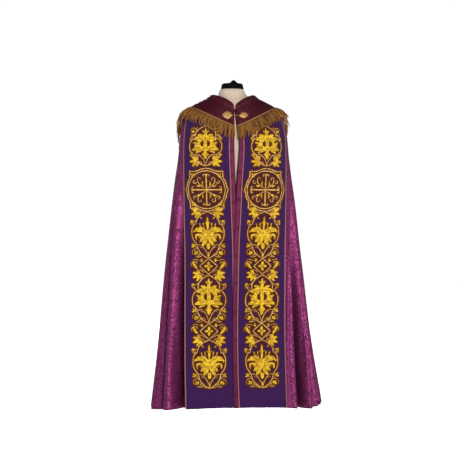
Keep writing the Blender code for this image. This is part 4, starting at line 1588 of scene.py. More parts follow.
@dataclass(frozen=True)
class Stroke:
    """One stitched shape of a flat design: its spine in millimetres, x to the right and y down."""

    way: tuple[Spot, ...]
    width: float
    taper: Taper = Taper.LOBE
    thread: Thread = Thread.GOLD
    height: float = 1.1

    def mirrored(self) -> "Stroke":
        """The same shape on the other side of the design's middle line."""
        return replace(self, way=tuple((-x, y) for x, y in self.way))

    def stretched(self, wide: float, tall: float) -> "Stroke":
        """The same shape on a stretched spine."""
        return replace(self, way=tuple((wide * x, tall * y) for x, y in self.way))

    def spine(self, step: float = 3.5, fewest: int = 6, most: int = 90) -> tuple[Array, Array]:
        """The spine by cubic steps through its own points.

        Args:
            step: The millimetres between two of its new points, about.
            fewest: The fewest steps.
            most: The most steps.

        Returns:
            The new points, and their shares of its length.
        """
        points = np.array(self.way)
        knots = lengths_along(points)
        share = np.linspace(0, 1, int(np.clip(knots[-1] / step, fewest, most)) + 1)
        return through_rows(points[:, None], knots, share * knots[-1])[:, 0], share


Design = list[Stroke]
FRAME_WIDTH = 5.0
CURL_STEPS, CURL_FEWEST = 12, 5  # points of a curl in each turn, and at least


def leaf(start: Spot, tip: Spot, width: float, bow: float = 0.0, taper: Taper = Taper.LOBE) -> Stroke:
    """A gold leaf.

    Args:
        start: Its foot.
        tip: Its tip.
        width: Its full width.
        bow: The sideways swing of its middle, as a share of its length.
        taper: How its width changes.

    Returns:
        The leaf.
    """
    (x0, y0), (x1, y1) = start, tip
    middle = ((x0 + x1) / 2 - (y1 - y0) * bow, (y0 + y1) / 2 + (x1 - x0) * bow)
    return Stroke((start, middle, tip), width, taper)


def off(middle: Spot, reach: float, turn: float) -> Spot:
    """The spot at a distance from another, and at a turn in degrees down from +x."""
    angle = math.radians(turn)
    return middle[0] + reach * math.cos(angle), middle[1] + reach * math.sin(angle)


def line(way: Sequence[Spot], width: float = 4.0, taper: Taper = Taper.CORD) -> Stroke:
    """A couched line of tan thread."""
    return Stroke(tuple(way), width, taper, Thread.TAN, 1.0)


def curl(
    middle: Spot, radius: float, start: float, turns: float, width: float = 4.0, inner: float = 0.25
) -> Stroke:
    """A line that winds inwards, its radius shrinking evenly with its angle.

    Args:
        middle: The spiral's middle.
        radius: Its outer radius, where it starts.
        start: The angle there, in degrees down from +x.
        turns: How far it winds, with a sign.
        width: The line's width.
        inner: Its last radius, as a share of the outer one.

    Returns:
        The line.
    """
    share = np.linspace(0, 1, max(CURL_FEWEST, int(abs(turns) * CURL_STEPS)))
    angle = np.radians(start) + turns * math.tau * share
    reach = radius * (1 - (1 - inner) * share)
    way = zip(middle[0] + reach * np.cos(angle), middle[1] + reach * np.sin(angle))
    return line([(float(x), float(y)) for x, y in way], width, Taper.TAIL)


def fan(foot: Spot, turn: float, lengths: Sequence[float], spread: float, width: float) -> Design:
    """Leaves that spread from one foot.

    Args:
        foot: The foot.
        turn: The way that the middle one points, in degrees down from +x.
        lengths: A length for each leaf.
        spread: Degrees between two leaves.
        width: Their width.

    Returns:
        The leaves.
    """
    middle = (len(lengths) - 1) / 2
    leaves = []
    for number, length in enumerate(lengths):
        tip = off(foot, length, turn + (number - middle) * spread)
        leaves.append(leaf(foot, tip, width, 0.06 * (number - middle)))
    return leaves


def bud(middle: Spot, turn: float, size: float) -> Design:
    """A bud of three petals."""
    lengths = [size * share for share in (0.85, 1.1, 0.85)]
    return fan(off(middle, -size * 0.5, turn), turn, lengths, 34, size * 0.5)


def bud_in_ring(middle: Spot, turn: float, radius: float) -> Design:
    """A bud on its stem inside a ring of line."""
    return [curl(middle, radius, turn + 150, 0.86, 3.6, 0.80), *bud(middle, turn, radius * 1.05)]


def both_sides(*strokes: Stroke) -> Design:
    """The strokes and their mirror images."""
    return [*strokes, *(stroke.mirrored() for stroke in strokes)]


def ivy(foot: Spot, turn: float, size: float) -> Design:
    """A broad leaf of five pointed lobes.

    Args:
        foot: Its foot.
        turn: The way that it points, in degrees down from +x.
        size: The length of its middle lobe.

    Returns:
        Its body and its lobes.
    """
    reach = size * 0.62
    body = Stroke((foot, off(foot, reach, turn)), reach, Taper.ROUND, height=1.3)
    lengths = [size * share for share in (0.66, 0.94, 1.0, 0.94, 0.66)]
    return [body, *fan(foot, turn, lengths, 37, size * 0.38)]


def lozenge(waist: float, foot: float, half_width: float = 41.0) -> Design:
    """A lozenge of line between two crossings, with a four-petalled star in it.

    Args:
        waist: How far its widest place lies under its top.
        foot: How far its foot does.
        half_width: Half its width.

    Returns:
        Its lines and its star.
    """
    bend = half_width * 0.52
    lines = [
        line([(0, 0), (bend, waist * 0.5), (half_width, waist)], FRAME_WIDTH),
        line([(half_width, waist), (bend, foot - (foot - waist) * 0.5), (0, foot)], FRAME_WIDTH),
    ]
    middle = (0, waist)
    petals = ((0, 21), (90, 23), (180, 21), (270, 23))
    star = [leaf(middle, off(middle, reach, turn), 15) for turn, reach in petals]
    return [*both_sides(*lines), *star]


# Outline round the broad palmette: an arch, a cusp, and a full curve that closes in at its foot
WIDE_FRAME = both_sides(
    line([(0, 0), (17, 10), (34, 24), (45, 43), (46, 66)], FRAME_WIDTH),
    line(
        [(44, 69), (56, 74), (69, 92), (73, 114), (69, 138), (50, 162), (44, 182), (18, 211), (0, 222)],
        FRAME_WIDTH,
    ),
    curl((60, 58), 9, 130, -0.8, 3.8),
    line([(49, 162), (36, 158), (21, 167), (9, 187), (3, 204), (0, 219)], 3.6),
    line([(36, 168), (27, 166), (19, 174)], 2.4, Taper.TAIL),
    line([(14, 206), (22, 198), (34, 196)], 2.6, Taper.TAIL),
)

# Outline round the tall palmette, with its cusp higher up
NARROW_FRAME = both_sides(
    line([(0, 0), (18, 8), (35, 20), (47, 36), (51, 54)], FRAME_WIDTH),
    line(
        [(49, 56), (60, 62), (69, 80), (71, 104), (66, 130), (49, 158), (43, 180), (18, 211), (0, 222)],
        FRAME_WIDTH,
    ),
    curl((64, 47), 9, 130, -0.8, 3.8),
    line([(48, 158), (36, 157), (22, 168), (9, 190), (3, 206), (0, 219)], 3.6),
    line([(35, 170), (27, 169), (20, 178)], 2.4, Taper.TAIL),
    leaf((36, 24), (22, 38), 6, 0.1, Taper.LEAF),
)

# Palmette with a pair of dark eyes, whose leaves spread wide below them
BROAD_PALMETTE_MIDDLE = [
    leaf((0, 70), (0, 12), 18, 0.0, Taper.SPEAR),
    Stroke(((0, 54), (0, 86), (0, 118), (0, 150)), 20, Taper.ROUND, height=1.4),
    Stroke(((-36, 74), (-12, 68), (12, 68), (36, 74)), 32, Taper.ROUND, height=1.2),
    Stroke(((-40, 131), (-14, 128), (14, 128), (40, 131)), 24, Taper.ROUND, height=1.2),
    Stroke(((0, 138), (0, 160), (0, 184)), 24, Taper.DROP, height=1.3),
]
BROAD_PALMETTE_SIDE = [
    leaf((2, 42), (16, 27), 10),
    Stroke(((20, 74), (25, 92), (24, 110), (14, 130)), 36, Taper.ROUND, height=1.1),
    leaf((4, 68), (38, 50), 17, -0.10),
    leaf((4, 74), (55, 80), 24, -0.12),
    Stroke(((12, 130), (27, 114), (41, 100), (60, 90)), 17),
    Stroke(((14, 130), (32, 118), (53, 108)), 15),
    leaf((2, 132), (65, 136), 25, -0.12),
    leaf((20, 128), (48, 121), 12, -0.10),
    leaf((14, 136), (46, 153), 15, -0.10),
    leaf((3, 152), (16, 163), 11, 0.0),
    Stroke(((16, 87), (17, 100), (12, 117)), 16, Taper.DROP, Thread.DARK, 2.3),
    Stroke(((10, 74), (26, 74), (44, 79)), 2.0, Taper.TAIL, Thread.DARK, 1.9),
    Stroke(((28, 96), (40, 89), (52, 88)), 3.2, Taper.TAIL, Thread.DARK, 2.1),
    Stroke(((10, 134), (30, 137), (50, 138)), 2.0, Taper.TAIL, Thread.DARK, 1.9),
    Stroke(((22, 124), (36, 120), (50, 116)), 2.4, Taper.TAIL, Thread.DARK, 2.0),
]
BROAD_PALMETTE = [*BROAD_PALMETTE_MIDDLE, *both_sides(*BROAD_PALMETTE_SIDE)]

# Palmette with one long spear, curled side leaves and a bud at its foot
TALL_PALMETTE_MIDDLE = [
    leaf((0, 94), (0, 13), 15, 0.0, Taper.SPEAR),
    Stroke(((0, 82), (0, 104), (0, 130)), 34, Taper.ROUND, height=1.4),
    Stroke(((-34, 98), (-12, 104), (12, 104), (34, 98)), 26, Taper.ROUND, height=1.2),
    Stroke(((0, 146), (0, 162), (0, 180)), 22, Taper.DROP, height=1.3),
    leaf((0, 222), (0, 182), 7, 0.0, Taper.LEAF),
]
TALL_PALMETTE_SIDE = [
    leaf((1, 56), (14, 49), 5, 0.1),
    line([(8, 90), (16, 76), (18, 62)], 3.0),
    leaf((17, 68), (19, 50), 7, 0.0, Taper.LEAF),
    line([(18, 88), (29, 76), (33, 64)], 3.0),
    leaf((31, 70), (36, 52), 7, 0.0, Taper.LEAF),
    leaf((6, 104), (40, 68), 20, -0.05),
    leaf((10, 104), (62, 82), 23, -0.14),
    Stroke(((30, 97), (52, 90), (62, 94), (60, 106)), 13),
    Stroke(((12, 115), (34, 110), (51, 112), (53, 124), (49, 138)), 12),
    Stroke(((18, 120), (34, 119), (42, 125)), 7),
    leaf((4, 108), (27, 166), 25, 0.05),
    leaf((4, 112), (38, 146), 20, -0.05),
    Stroke(((22, 106), (36, 103), (46, 104)), 3.0, Taper.TAIL, Thread.DARK, 2.2),
    Stroke(((10, 98), (24, 88), (36, 78)), 1.8, Taper.TAIL, Thread.DARK, 2.0),
    Stroke(((10, 118), (18, 134), (24, 150)), 2.0, Taper.TAIL, Thread.DARK, 2.0),
]
TALL_PALMETTE = [*TALL_PALMETTE_MIDDLE, *both_sides(*TALL_PALMETTE_SIDE)]

# What fills the corners over a crossing, outside the frame that closes in: y is from the crossing
UPPER_SPANDREL = both_sides(
    *bud_in_ring((58, -27), -60, 20),
    line([(24, -22), (34, -10), (50, -5)], 3.4),
    leaf((30, -14), (40, -26), 6, 0.1, Taper.LEAF),
    *fan((64, -54), -55, (16, 20, 16), 48, 9),
    line([(50, -46), (58, -54), (66, -54)], 3.2),
)

# What fills the corners beside a lozenge and under it: y is from its upper crossing
LOWER_SPANDREL = both_sides(
    *bud((33, 8), 0, 15),
    line([(44, 10), (60, 4), (74, 8)], 3.0),
    Stroke(((74, 14), (66, 30), (50, 49)), 16, Taper.DROP),
    leaf((66, 12), (50, 26), 7, 0.1, Taper.LEAF),
    curl((68, 28), 14, 250, 0.45, 3.2, 0.9),
    line([(20, 64), (34, 54), (50, 52)], 3.4),
)

# What fills the corners beside a frame's arch: y is from the frame's apex
ARCH_CORNER = both_sides(
    line([(20, 5), (30, -4), (44, -4)], 3.4),
    *ivy((40, -2), 24, 41),
    line([(46, 34), (56, 44), (66, 44)], 3.2),
    curl((72, 52), 9, 150, -0.8, 3.4),
    *bud((74, 44), -60, 15),
)

# The corners beside the topmost arch: a ring with a bud, and a hanging curl
TOP_CORNER = both_sides(
    *bud_in_ring((60, 26), -100, 18),
    line([(44, 30), (52, 44), (64, 50), (74, 60)], 3.6),
    *fan((68, 58), 60, (12, 15, 12), 48, 7.5),
    leaf((46, 18), (36, 6), 6, 0.1, Taper.LEAF),
)

# A ring in an eight-sided border of line, with a flowered cross in it: y is from its middle
ROUNDEL_BORDER = [
    line([(0, -99), (22, -95), (44, -86), (60, -84), (79, -86)], 5.6),
    line([(79, -86), (77, -70), (79, -54)], 5.6),
    line([(79, -54), (89, -34), (95, -10), (99, 0), (95, 10), (89, 34), (79, 54)], 5.6),
    line([(79, 54), (77, 70), (79, 86)], 5.6),
    line([(79, 86), (60, 84), (44, 86), (22, 95), (0, 99)], 5.6),
    *fan((56, -60), -45, (18, 23, 18), 44, 9),
    *fan((56, 60), 45, (18, 23, 18), 44, 9),
]
ROUNDEL_RING = replace(curl((0, 0), 87, 0, 1.0, 5.6, 1.0), taper=Taper.CORD)
ROUNDEL_SPRAY = [
    line([(9, 9), (24, 18), (40, 38), (36, 56), (24, 50), (29, 41)], 5.2, Taper.TAIL),
    leaf((22, 18), (50, 24), 10, 0.15, Taper.LEAF),
    leaf((14, 14), (14, 44), 8, -0.15, Taper.LEAF),
    curl((55, 38), 10, -160, 0.9, 4.8),
    line([(9, -9), (24, -18), (40, -38), (36, -56), (24, -50), (29, -41)], 5.2, Taper.TAIL),
    leaf((22, -18), (50, -24), 10, 0.15, Taper.LEAF),
    leaf((14, -14), (14, -44), 8, 0.15, Taper.LEAF),
    curl((55, -38), 10, 160, -0.9, 4.8),
    line([(0, 0), (30, 0), (60, 0)], 7.4),
    leaf((50, 0), (77, 0), 10, 0.0, Taper.LEAF),
    curl((62, 10), 9, -100, 0.8, 5.0),
    curl((62, -10), 9, 100, -0.8, 5.0),
    curl((10, 64), 9, 190, -0.8, 5.0),
    curl((10, -64), 9, 170, 0.8, 5.0),
]
ROUNDEL_UPRIGHT = [
    line([(0, -60), (0, 0), (0, 60)], 7.4),
    leaf((0, 54), (0, 80), 10, 0.0, Taper.LEAF),
    leaf((0, -54), (0, -80), 10, 0.0, Taper.LEAF),
    leaf((0, -10), (0, 10), 18, 0.0, Taper.ROUND),
]
ROUNDEL = [ROUNDEL_RING, *both_sides(*ROUNDEL_BORDER), *both_sides(*ROUNDEL_SPRAY), *ROUNDEL_UPRIGHT]

# The corners between the first frame's foot and the roundel: y is from where the frame closes
OVER_ROUNDEL = both_sides(
    *ivy((38, -24), 4, 42),
    line([(12, -3), (26, -10), (38, -22)], 3.4),
    curl((68, -54), 9, 120, -0.8, 3.4),
    leaf((54, -46), (72, -66), 8, 0.12, Taper.LEAF),
    leaf((56, -50), (80, -48), 6, -0.12, Taper.LEAF),
)

# The corners beside the lowest frame's foot: y is from where it closes
FOOT_CORNER = both_sides(
    line([(4, -6), (18, -4), (32, -12)], 3.2),
    leaf((6, -2), (22, -18), 8, 0.1, Taper.LEAF),
)

Rings = tuple[Array, Array, Array]


@dataclass
class Embroidery:
    """The gold and tan ornament on both orphreys, over a dark maroon ground laid under each stroke: partly
    outline stitches, partly painted shadow round the raised gold.

    Motifs are drawn in millimetres about the orphrey's middle line, and heights are metres over the floor.
    """

    bands: FrontBands
    margin: float = 0.109
    lift: float = 0.0001
    around: int = 5
    # The dark underlay round each gold and tan stroke is partly outline stitching and partly painted shadow
    # cast by the raised thread.
    outline_extra: float = 8.0
    outline_height: float = 0.45
    outline_step: float = 0.02
    outline_levels: int = 16
    tip_share: float = 0.15
    tip_rate: float = 1.7
    rim_slope: float = 3.0
    taper_rise: float = 1.6
    apexes: tuple[float, ...] = (1.3266, 0.9285, 0.6390, 0.3431)
    roundel_at: float = 1.0295
    frame_height: float = 222.0
    frame_spread: float = 1.05
    closings: tuple[float, ...] = (1.1384, 0.7143, 0.4180, 0.1227)
    lozenges: tuple[tuple[float, float, float], ...] = ((0.7143, 0.6791, 0.6426), (0.4180, 0.3830, 0.3454))
    levels: int = 700
    top_inset: float = 0.004
    lowest: float = 0.020
    past_last: float = 1.001  # taken off a count of points, it leaves a place in the last cell

    def design(self) -> list[tuple[float, Stroke]]:
        """All the motifs in their places.

        Returns:
            Each of their strokes, with the height that its y counts down from.
        """
        motifs = []
        kinds = ([*WIDE_FRAME, *BROAD_PALMETTE], [*NARROW_FRAME, *TALL_PALMETTE]) * 2
        for kind, apex, closing in zip(kinds, self.apexes, self.closings):
            tall = (apex - closing) * 1000 / self.frame_height
            motifs.append((apex, [stroke.stretched(self.frame_spread, tall) for stroke in kind]))
            if closing != self.closings[0]:
                motifs.append((closing, UPPER_SPANDREL))
        motifs.append((self.apexes[0], TOP_CORNER))
        motifs += [(apex, ARCH_CORNER) for apex in self.apexes[1:]]
        motifs.append((self.roundel_at, ROUNDEL))
        motifs.append((self.closings[0], OVER_ROUNDEL))
        for top, waist, foot in self.lozenges:
            motifs.append((top, [*lozenge((top - waist) * 1000, (top - foot) * 1000), *LOWER_SPANDREL]))
        motifs.append((self.closings[-1], FOOT_CORNER))
        return [(top, stroke) for top, motif in motifs for stroke in motif]

    def level_grid(self, side: int) -> Rings:
        """The orphrey's face read at even heights.

        Args:
            side: The half.

        Returns:
            Its points, its normals there, and the heights from the top down.
        """
        face = self.bands.faces[side]
        highest = face[..., 2].max(axis=0).min() - self.top_inset
        heights = np.linspace(highest, self.lowest, self.levels)
        level = np.empty((self.levels, face.shape[1], 3))
        for column in range(face.shape[1]):
            for axis in range(3):
                level[:, column, axis] = np.interp(-heights, -face[:, column, 2], face[:, column, axis])
        return level, face_normals(level, side), heights

    def on_face(self, side: int, grid: Rings, flat: Array, out: Array) -> Array:
        """Lays flat places on the orphrey's face.

        Args:
            side: The half.
            grid: The face, from level_grid.
            flat: Metres from the middle line, and metres over the floor.
            out: Heights over the face.

        Returns:
            The points.
        """
        level, normals, heights = grid
        across = (self.margin + side * flat[..., 0]) / (2 * self.margin) * (level.shape[1] - 1)
        down = (heights[0] - flat[..., 1]) / (heights[0] - heights[-1]) * (self.levels - 1)
        across = np.clip(across, 0, level.shape[1] - self.past_last)
        down = np.clip(down, 0, self.levels - self.past_last)
        column, row = across.astype(int), down.astype(int)
        right, below = (across - column)[..., None], (down - row)[..., None]

        def read(field_grid: Array) -> Array:
            """A grid's value between its four nearest points."""
            top = field_grid[row, column] * (1 - right) + field_grid[row, column + 1] * right
            foot = field_grid[row + 1, column] * (1 - right) + field_grid[row + 1, column + 1] * right
            return top * (1 - below) + foot * below

        return read(level) + unit(read(normals)) * (self.lift + out)[..., None]

    def rings(self, stroke: Stroke, top: float, extra: float, height: float) -> Rings:
        """One stroke's half rings, which rise from the cloth over its width.

        Args:
            stroke: The stroke.
            top: The height that its y counts down from.
            extra: Millimetres more on each side, for the dark outline under it, which is partly painted
                shadow.
            height: Its full height over the face, in millimetres.

        Returns:
            Flat places, heights over the face, and UV in metres.
        """
        points, share = stroke.spine()
        flat = np.stack([points[:, 0] / 1000, top - points[:, 1] / 1000], axis=-1)
        way = unit(np.gradient(flat, axis=0))
        beside = np.stack([-way[:, 1], way[:, 0]], axis=-1)
        taper = stroke.taper.at(share)
        beyond = extra * np.minimum(1.0, self.tip_share + self.tip_rate * taper)
        half = (stroke.width * taper / 2 + beyond) / 1000
        angle = np.linspace(0, math.pi, self.around)
        offset = half[:, None] * np.cos(angle)
        places = flat[:, None] + beside[:, None] * offset[..., None]
        dome = np.sin(angle) if extra == 0 else np.minimum(1.0, self.rim_slope * np.sin(angle))
        rise = np.minimum(1.0, half / half.max() * self.taper_rise)[:, None] * dome * height / 1000
        along = lengths_along(flat)[:, None] + 0 * offset
        return places, rise, np.stack([offset, along], axis=-1)

    def add_strokes(self, side: int, name: str, strokes: list[Rings], thread: Thread) -> None:
        """Joins many strokes into one piece on one side's orphrey.

        Args:
            side: The half.
            name: The piece's name.
            strokes: Each stroke's rings.
            thread: What it is stitched with.
        """
        grid = self.level_grid(side)
        points, faces, uvs, count = [], [], [], 0
        for places, rise, uv in strokes:
            points.append(self.on_face(side, grid, places, rise).reshape(-1, 3))
            faces.append([block + count for block in tube_faces(1, len(places), self.around)])
            uvs.append(uv.reshape(-1, 2))
            count += len(places) * self.around
        blocks = [np.concatenate(kind) for kind in zip(*faces)]
        mesh = fill_mesh(name, np.concatenate(points), blocks, np.concatenate(uvs))
        add_piece(name, mesh, thread.stuff)

    def build(self) -> None:
        """Both sides' ornament, a piece for each thread, and the dark outlines under the gold and the tan,
        partly outline stitches and partly painted shadow.
        """
        design = self.design()
        for side, word in SIDES:
            under: list[Rings] = []
            for thread in Thread:
                shapes = []
                for top, stroke in design:
                    if stroke.thread is thread:
                        shapes.append(self.rings(stroke, top, 0.0, stroke.height))
                        # Dark underlay under each gold and tan stroke: outline stitches and painted shadow
                        # round the raised thread.
                        if thread is not Thread.DARK:
                            level = len(under) % self.outline_levels
                            height = self.outline_height + self.outline_step * level
                            under.append(self.rings(stroke, top, self.outline_extra, height))
                self.add_strokes(side, f"{thread.label}_{word}", shapes, thread)
            self.add_strokes(side, f"outline_{word}", under, Thread.DARK)


# --- The hood and its fringe ---


@dataclass
class Hood:
    """The shield-shaped hood: it rolls over at the neck, meets before the throat and falls behind."""

    wall: float = 0.0020
    edge_front: float = 1.320
    edge_side: float = 1.415
    edge_back: float = 1.010
    shield_power: float = 4.0
    front_gap: float = 0.0056
    seam_drop: float = 0.005
    seam_out: float = 0.0012
    heading: float = 0.006
    half_columns: int = 110
    fall_rows: int = 56
    row_power: float = 1.3
    even_at_crest: float = 0.4
    edge_steps: int = 800
    turn_step: float = 0.01
    edge_turn_step: float = 0.002
    flat: tuple[float, float] = (0.56, 0.74)
    flat_area: float = 0.30

    def turned(self, section: Section, turn: Array) -> Array:
        """The turns moved round so that 0 lies at the hood's front edge, half a gap from the centre."""
        start = math.asin((self.front_gap / section.half_width) ** (section.square / 2))
        return start + (math.pi - start) * turn / math.pi

    def over_ring(self, row: int, turn: Array, side: int, out: float) -> Array:
        """Points over one ring of the cope before its folds, moved out along the surface's normal.

        Args:
            row: The ring's number.
            turn: The turns round it.
            side: The half.
            out: How far they are moved.

        Returns:
            The points.
        """
        upper, section, lower = COPE_SECTIONS[row - 1 : row + 2]
        angle = self.turned(section, turn)
        across = placed(section, angle + self.turn_step, side) - placed(section, angle - self.turn_step, side)
        down = placed(lower, self.turned(lower, turn), side) - placed(upper, self.turned(upper, turn), side)
        return placed(section, angle, side) + unit(np.cross(across, down) * -side) * out

    def neckline(self, turn: Array, side: int, drop: float) -> Array:
        """Points over the cope's face, near its neckline.

        Args:
            turn: The turns round it.
            side: The half.
            drop: The length below the neckline.

        Returns:
            The points.
        """
        upper, lower = COPE_SECTIONS[:2]
        angle = self.turned(upper, turn)
        top = placed(upper, angle, side)
        down = unit(placed(lower, angle, side) - top)
        normal = unit(np.cross(placed(upper, angle + self.turn_step, side) - top, down) * -side)
        return top + down * drop + normal * self.seam_out

    def lines(self, turn: Array, side: int) -> tuple[Array, Array, Array]:
        """The hood's fall at many turns.

        Args:
            turn: The turns.
            side: The half.

        Returns:
            The stations of each line, the lengths along it, and the length to the hood's edge.
        """
        stations = [placed(section, self.turned(section, turn), side) for section in HOOD_CREST]
        for row, section in enumerate(COPE_SECTIONS):
            if section.name in HOOD_STAND_OFF:
                stations.append(self.over_ring(row, turn, side, HOOD_STAND_OFF[section.name]))
        lines = np.stack(stations, axis=1)
        along = lengths_along(lines)
        sine = np.abs(np.sin(turn))
        front = self.edge_front + (self.edge_side - self.edge_front) * sine
        back = self.edge_back + (self.edge_side - self.edge_back) * sine**self.shield_power
        height = np.where(turn < math.pi / 2, front, back)
        row = np.arange(len(turn))
        step = np.clip((lines[:, :, 2] >= height[:, None]).sum(axis=1) - 1, 1, lines.shape[1] - 2)
        high, low = lines[row, step, 2], lines[row, step + 1, 2]
        part = (high - height) / (high - low)
        edge = along[row, step] + part * (along[row, step + 1] - along[row, step])
        return lines, along, edge

    def over_edge(self, turn: Array, side: int, past_edge: Array, out: Array) -> Array:
        """Points at or past the hood's edge.

        Args:
            turn: The turns along it.
            side: The half.
            past_edge: The length past the edge at each.
            out: The height over the hood's face at each.

        Returns:
            The points.
        """
        step = self.edge_turn_step
        spots = []
        for shift, further in ((0.0, 0.0), (-step, 0.0), (step, 0.0), (0.0, step)):
            lines, along, edge = self.lines(np.clip(turn + shift, 0.0, math.pi), side)
            spots.append(along_lines(lines, along, edge + past_edge + further))
        spot, before, after, below = spots
        normal = unit(np.cross(after - before, below - spot) * -side)
        return spot + normal * np.asarray(out)[..., None]

    def edge_lengths(self, side: int) -> tuple[Array, Array]:
        """Fine turns along the hood's edge, and the length along it to each."""
        fine = np.linspace(0.0, math.pi, self.edge_steps)
        lines, along, edge = self.lines(fine, side)
        return fine, lengths_along(along_lines(lines, along, edge))

    def half(self, side: int) -> Array:
        """One half of the face: the seam, the stand, the roll and the fall.

        Args:
            side: The half.

        Returns:
            Points as rows, columns, 3, from the front edge to the centre back.
        """
        fine, lengths = self.edge_lengths(side)
        at_edge = np.interp(np.linspace(0, lengths[-1], self.half_columns + 1), lengths, fine)
        at_crest = at_edge + (np.linspace(0.0, math.pi, len(at_edge)) - at_edge) * self.even_at_crest
        shares = np.append(np.linspace(0, 1, self.fall_rows) ** self.row_power, 1.0)
        rows = []
        for drop in (self.seam_drop, self.seam_drop / 2, 0.0):
            rows.append(self.neckline(at_crest, side, drop))
        for number, share in enumerate(shares):
            turn = at_crest + (at_edge - at_crest) * share
            lines, along, edge = self.lines(turn, side)
            fall = edge if number == len(shares) - 1 else share * (edge - self.heading)
            rows.append(along_lines(lines, along, fall))
        return np.array(rows)

    def build(self) -> None:
        """The hood's cloth."""
        grid = joined_halves(self.half(RIGHT), self.half(LEFT))
        uv = cloth_metres(grid, grid.shape[1] // 2)
        piece = add_cloth("hood_cloth", grid, uv, self.wall, Stuff.HOOD_DAMASK, ["hood"])


@dataclass
class Fringe:
    """The bullion fringe: a braided heading on the hood's edge and two rows of twisted strands."""

    hood: Hood
    gap: float = 0.0011
    heading_wall: float = 0.0014
    overhang: float = 0.001
    length: float = 0.060
    length_spread: float = 0.13
    strand_radius: float = 0.00122
    pitch: float = 0.0022
    clump: int = 3
    layer_outs: tuple[float, float] = (0.0024, 0.0046)
    stations: int = 10
    around: int = 5
    turns: float = 3.0
    tip_share: float = 0.07
    tip_taper: float = 0.75
    root_share: float = 0.05
    root_width: float = 0.8
    sway: float = 0.0048
    sway_turns: float = 0.7
    lean_out: float = 0.35
    lean_aside: float = 0.6
    belly: float = 0.0008
    gather: float = 0.34
    flare: tuple[float, float] = (0.007, 0.016)
    flare_end: float = math.pi * 0.62
    flare_power: int = 6
    phase_spread: float = 0.06
    bend_spread: float = 0.25
    heading_columns: int = 260
    heading_rows: int = 5
    heading_rim: float = 0.75
    heading_dome: float = 0.5
    seed: int = 11

    def places(self, side: int) -> Array:
        """Turns along the hood's edge, a pitch apart."""
        fine, lengths = self.hood.edge_lengths(side)
        count = int(lengths[-1] / self.pitch)
        return np.interp((np.arange(count) + 0.5) / count * lengths[-1], lengths, fine)

    def middles(
        self, side: int, turn: Array, length: Array, phase: Array, bend: Array
    ) -> tuple[Array, Array]:
        """The strands' middle lines, carried down the hood's fall.

        Neighbours lean together into a clump, which has its own sway, so the swings are kept apart until
        the lines' directions are known.

        Args:
            side: The half.
            turn: Where each strand hangs on the hood's edge.
            length: Its length.
            phase: Where its sway starts, in turns.
            bend: Its lean outwards and sideways, as two rows of shares of the sway.

        Returns:
            A point, and a swing sideways, for each strand and station.
        """
        number = np.arange(len(turn))
        layer = np.array(self.layer_outs)[number % 2]
        drawn = (number % self.clump - (self.clump - 1) / 2) * self.pitch * self.gather
        flare = self.flare[side == LEFT] * np.sin(turn) ** self.flare_power * (turn < self.flare_end)
        spots, swings = [], []
        for part in np.linspace(0, 1, self.stations):
            wave = np.sin(math.tau * (phase + part * self.sway_turns))
            lean = self.sway * part * self.lean_out * bend[0]
            out = layer + lean + flare * part + self.belly * math.sin(math.pi * part)
            spots.append(self.hood.over_edge(turn, side, self.overhang + length * part, out))
            swing = self.sway * part * wave - side * drawn * smooth(part)
            swings.append(swing + self.sway * part**2 * self.lean_aside * bend[1])
        return np.stack(spots, axis=1), np.stack(swings, axis=1)

    def twisted(self, side: int, spots: Array, swings: Array, phase: Array) -> Array:
        """Polygons carried along the middle lines and turned as they go, so that their edges wind.

        Args:
            side: The half.
            spots: The middle lines' points.
            swings: How far each point moves sideways.
            phase: Where each strand's twist starts, in turns.

        Returns:
            Points as strands, stations, around, 3.
        """
        share = np.linspace(0, 1, self.stations)
        way = unit(np.gradient(spots, axis=1))
        beside = np.roll(spots, -1, axis=0) - spots
        beside[-1] = beside[-2]
        outward = unit(np.cross(beside, way) * -side)
        spots = spots + unit(np.cross(outward, way)) * swings[..., None]
        way = unit(np.gradient(spots, axis=1))
        sideways = unit(np.cross(outward, way))
        outward = np.cross(way, sideways)
        taper = 1 - self.tip_taper * smooth((share - 1 + self.tip_share) / self.tip_share)
        radius = self.strand_radius * taper * np.where(share < self.root_share, self.root_width, 1.0)
        corner = np.arange(self.around) / self.around
        angle = math.tau * (corner[None, None, :] + self.turns * share[None, :, None] + phase[:, None, None])
        ring = sideways[:, :, None] * np.cos(angle)[..., None]
        ring = ring - outward[:, :, None] * np.sin(angle)[..., None]
        return spots[:, :, None] + ring * radius[None, :, None, None]

    def strands(self, side: int, draw: np.random.Generator) -> tuple[Array, Array]:
        """One side's strands, each with its own length, sway and tone.

        Args:
            side: The half.
            draw: Where the random numbers come from.

        Returns:
            The strands' rings, and their tones from 0 to 1.
        """
        turn = self.places(side)
        count = len(turn)
        clump, clumps = np.arange(count) // self.clump, count // self.clump + 1
        length = self.length * (1 + self.length_spread * draw.uniform(-1, 1, count))
        phase = draw.uniform(0, 1, clumps)[clump]
        phase = phase + draw.uniform(-self.phase_spread, self.phase_spread, count)
        bend = draw.uniform(-1, 1, (2, clumps))[:, clump]
        bend = bend + draw.uniform(-self.bend_spread, self.bend_spread, (2, count))
        tone = draw.uniform(0, 1, count)
        spots, swings = self.middles(side, turn, length, phase, bend)
        return self.twisted(side, spots, swings, phase), tone

    def add_strands(self) -> None:
        """The strands of both sides as one piece, which stands for the fringe's solid."""
        draw = np.random.default_rng(self.seed)
        halves, tones = zip(*(self.strands(side, draw) for side, _ in SIDES))
        rings = np.concatenate(halves)
        uv = np.zeros(rings.shape[:3] + (2,))
        uv[..., 0] = np.concatenate(tones)[:, None, None]
        uv[..., 1] = np.linspace(0, self.length, self.stations)[None, :, None]
        add_tubes("fringe_strands", rings, uv, Stuff.BULLION, ["hood_fringe"])

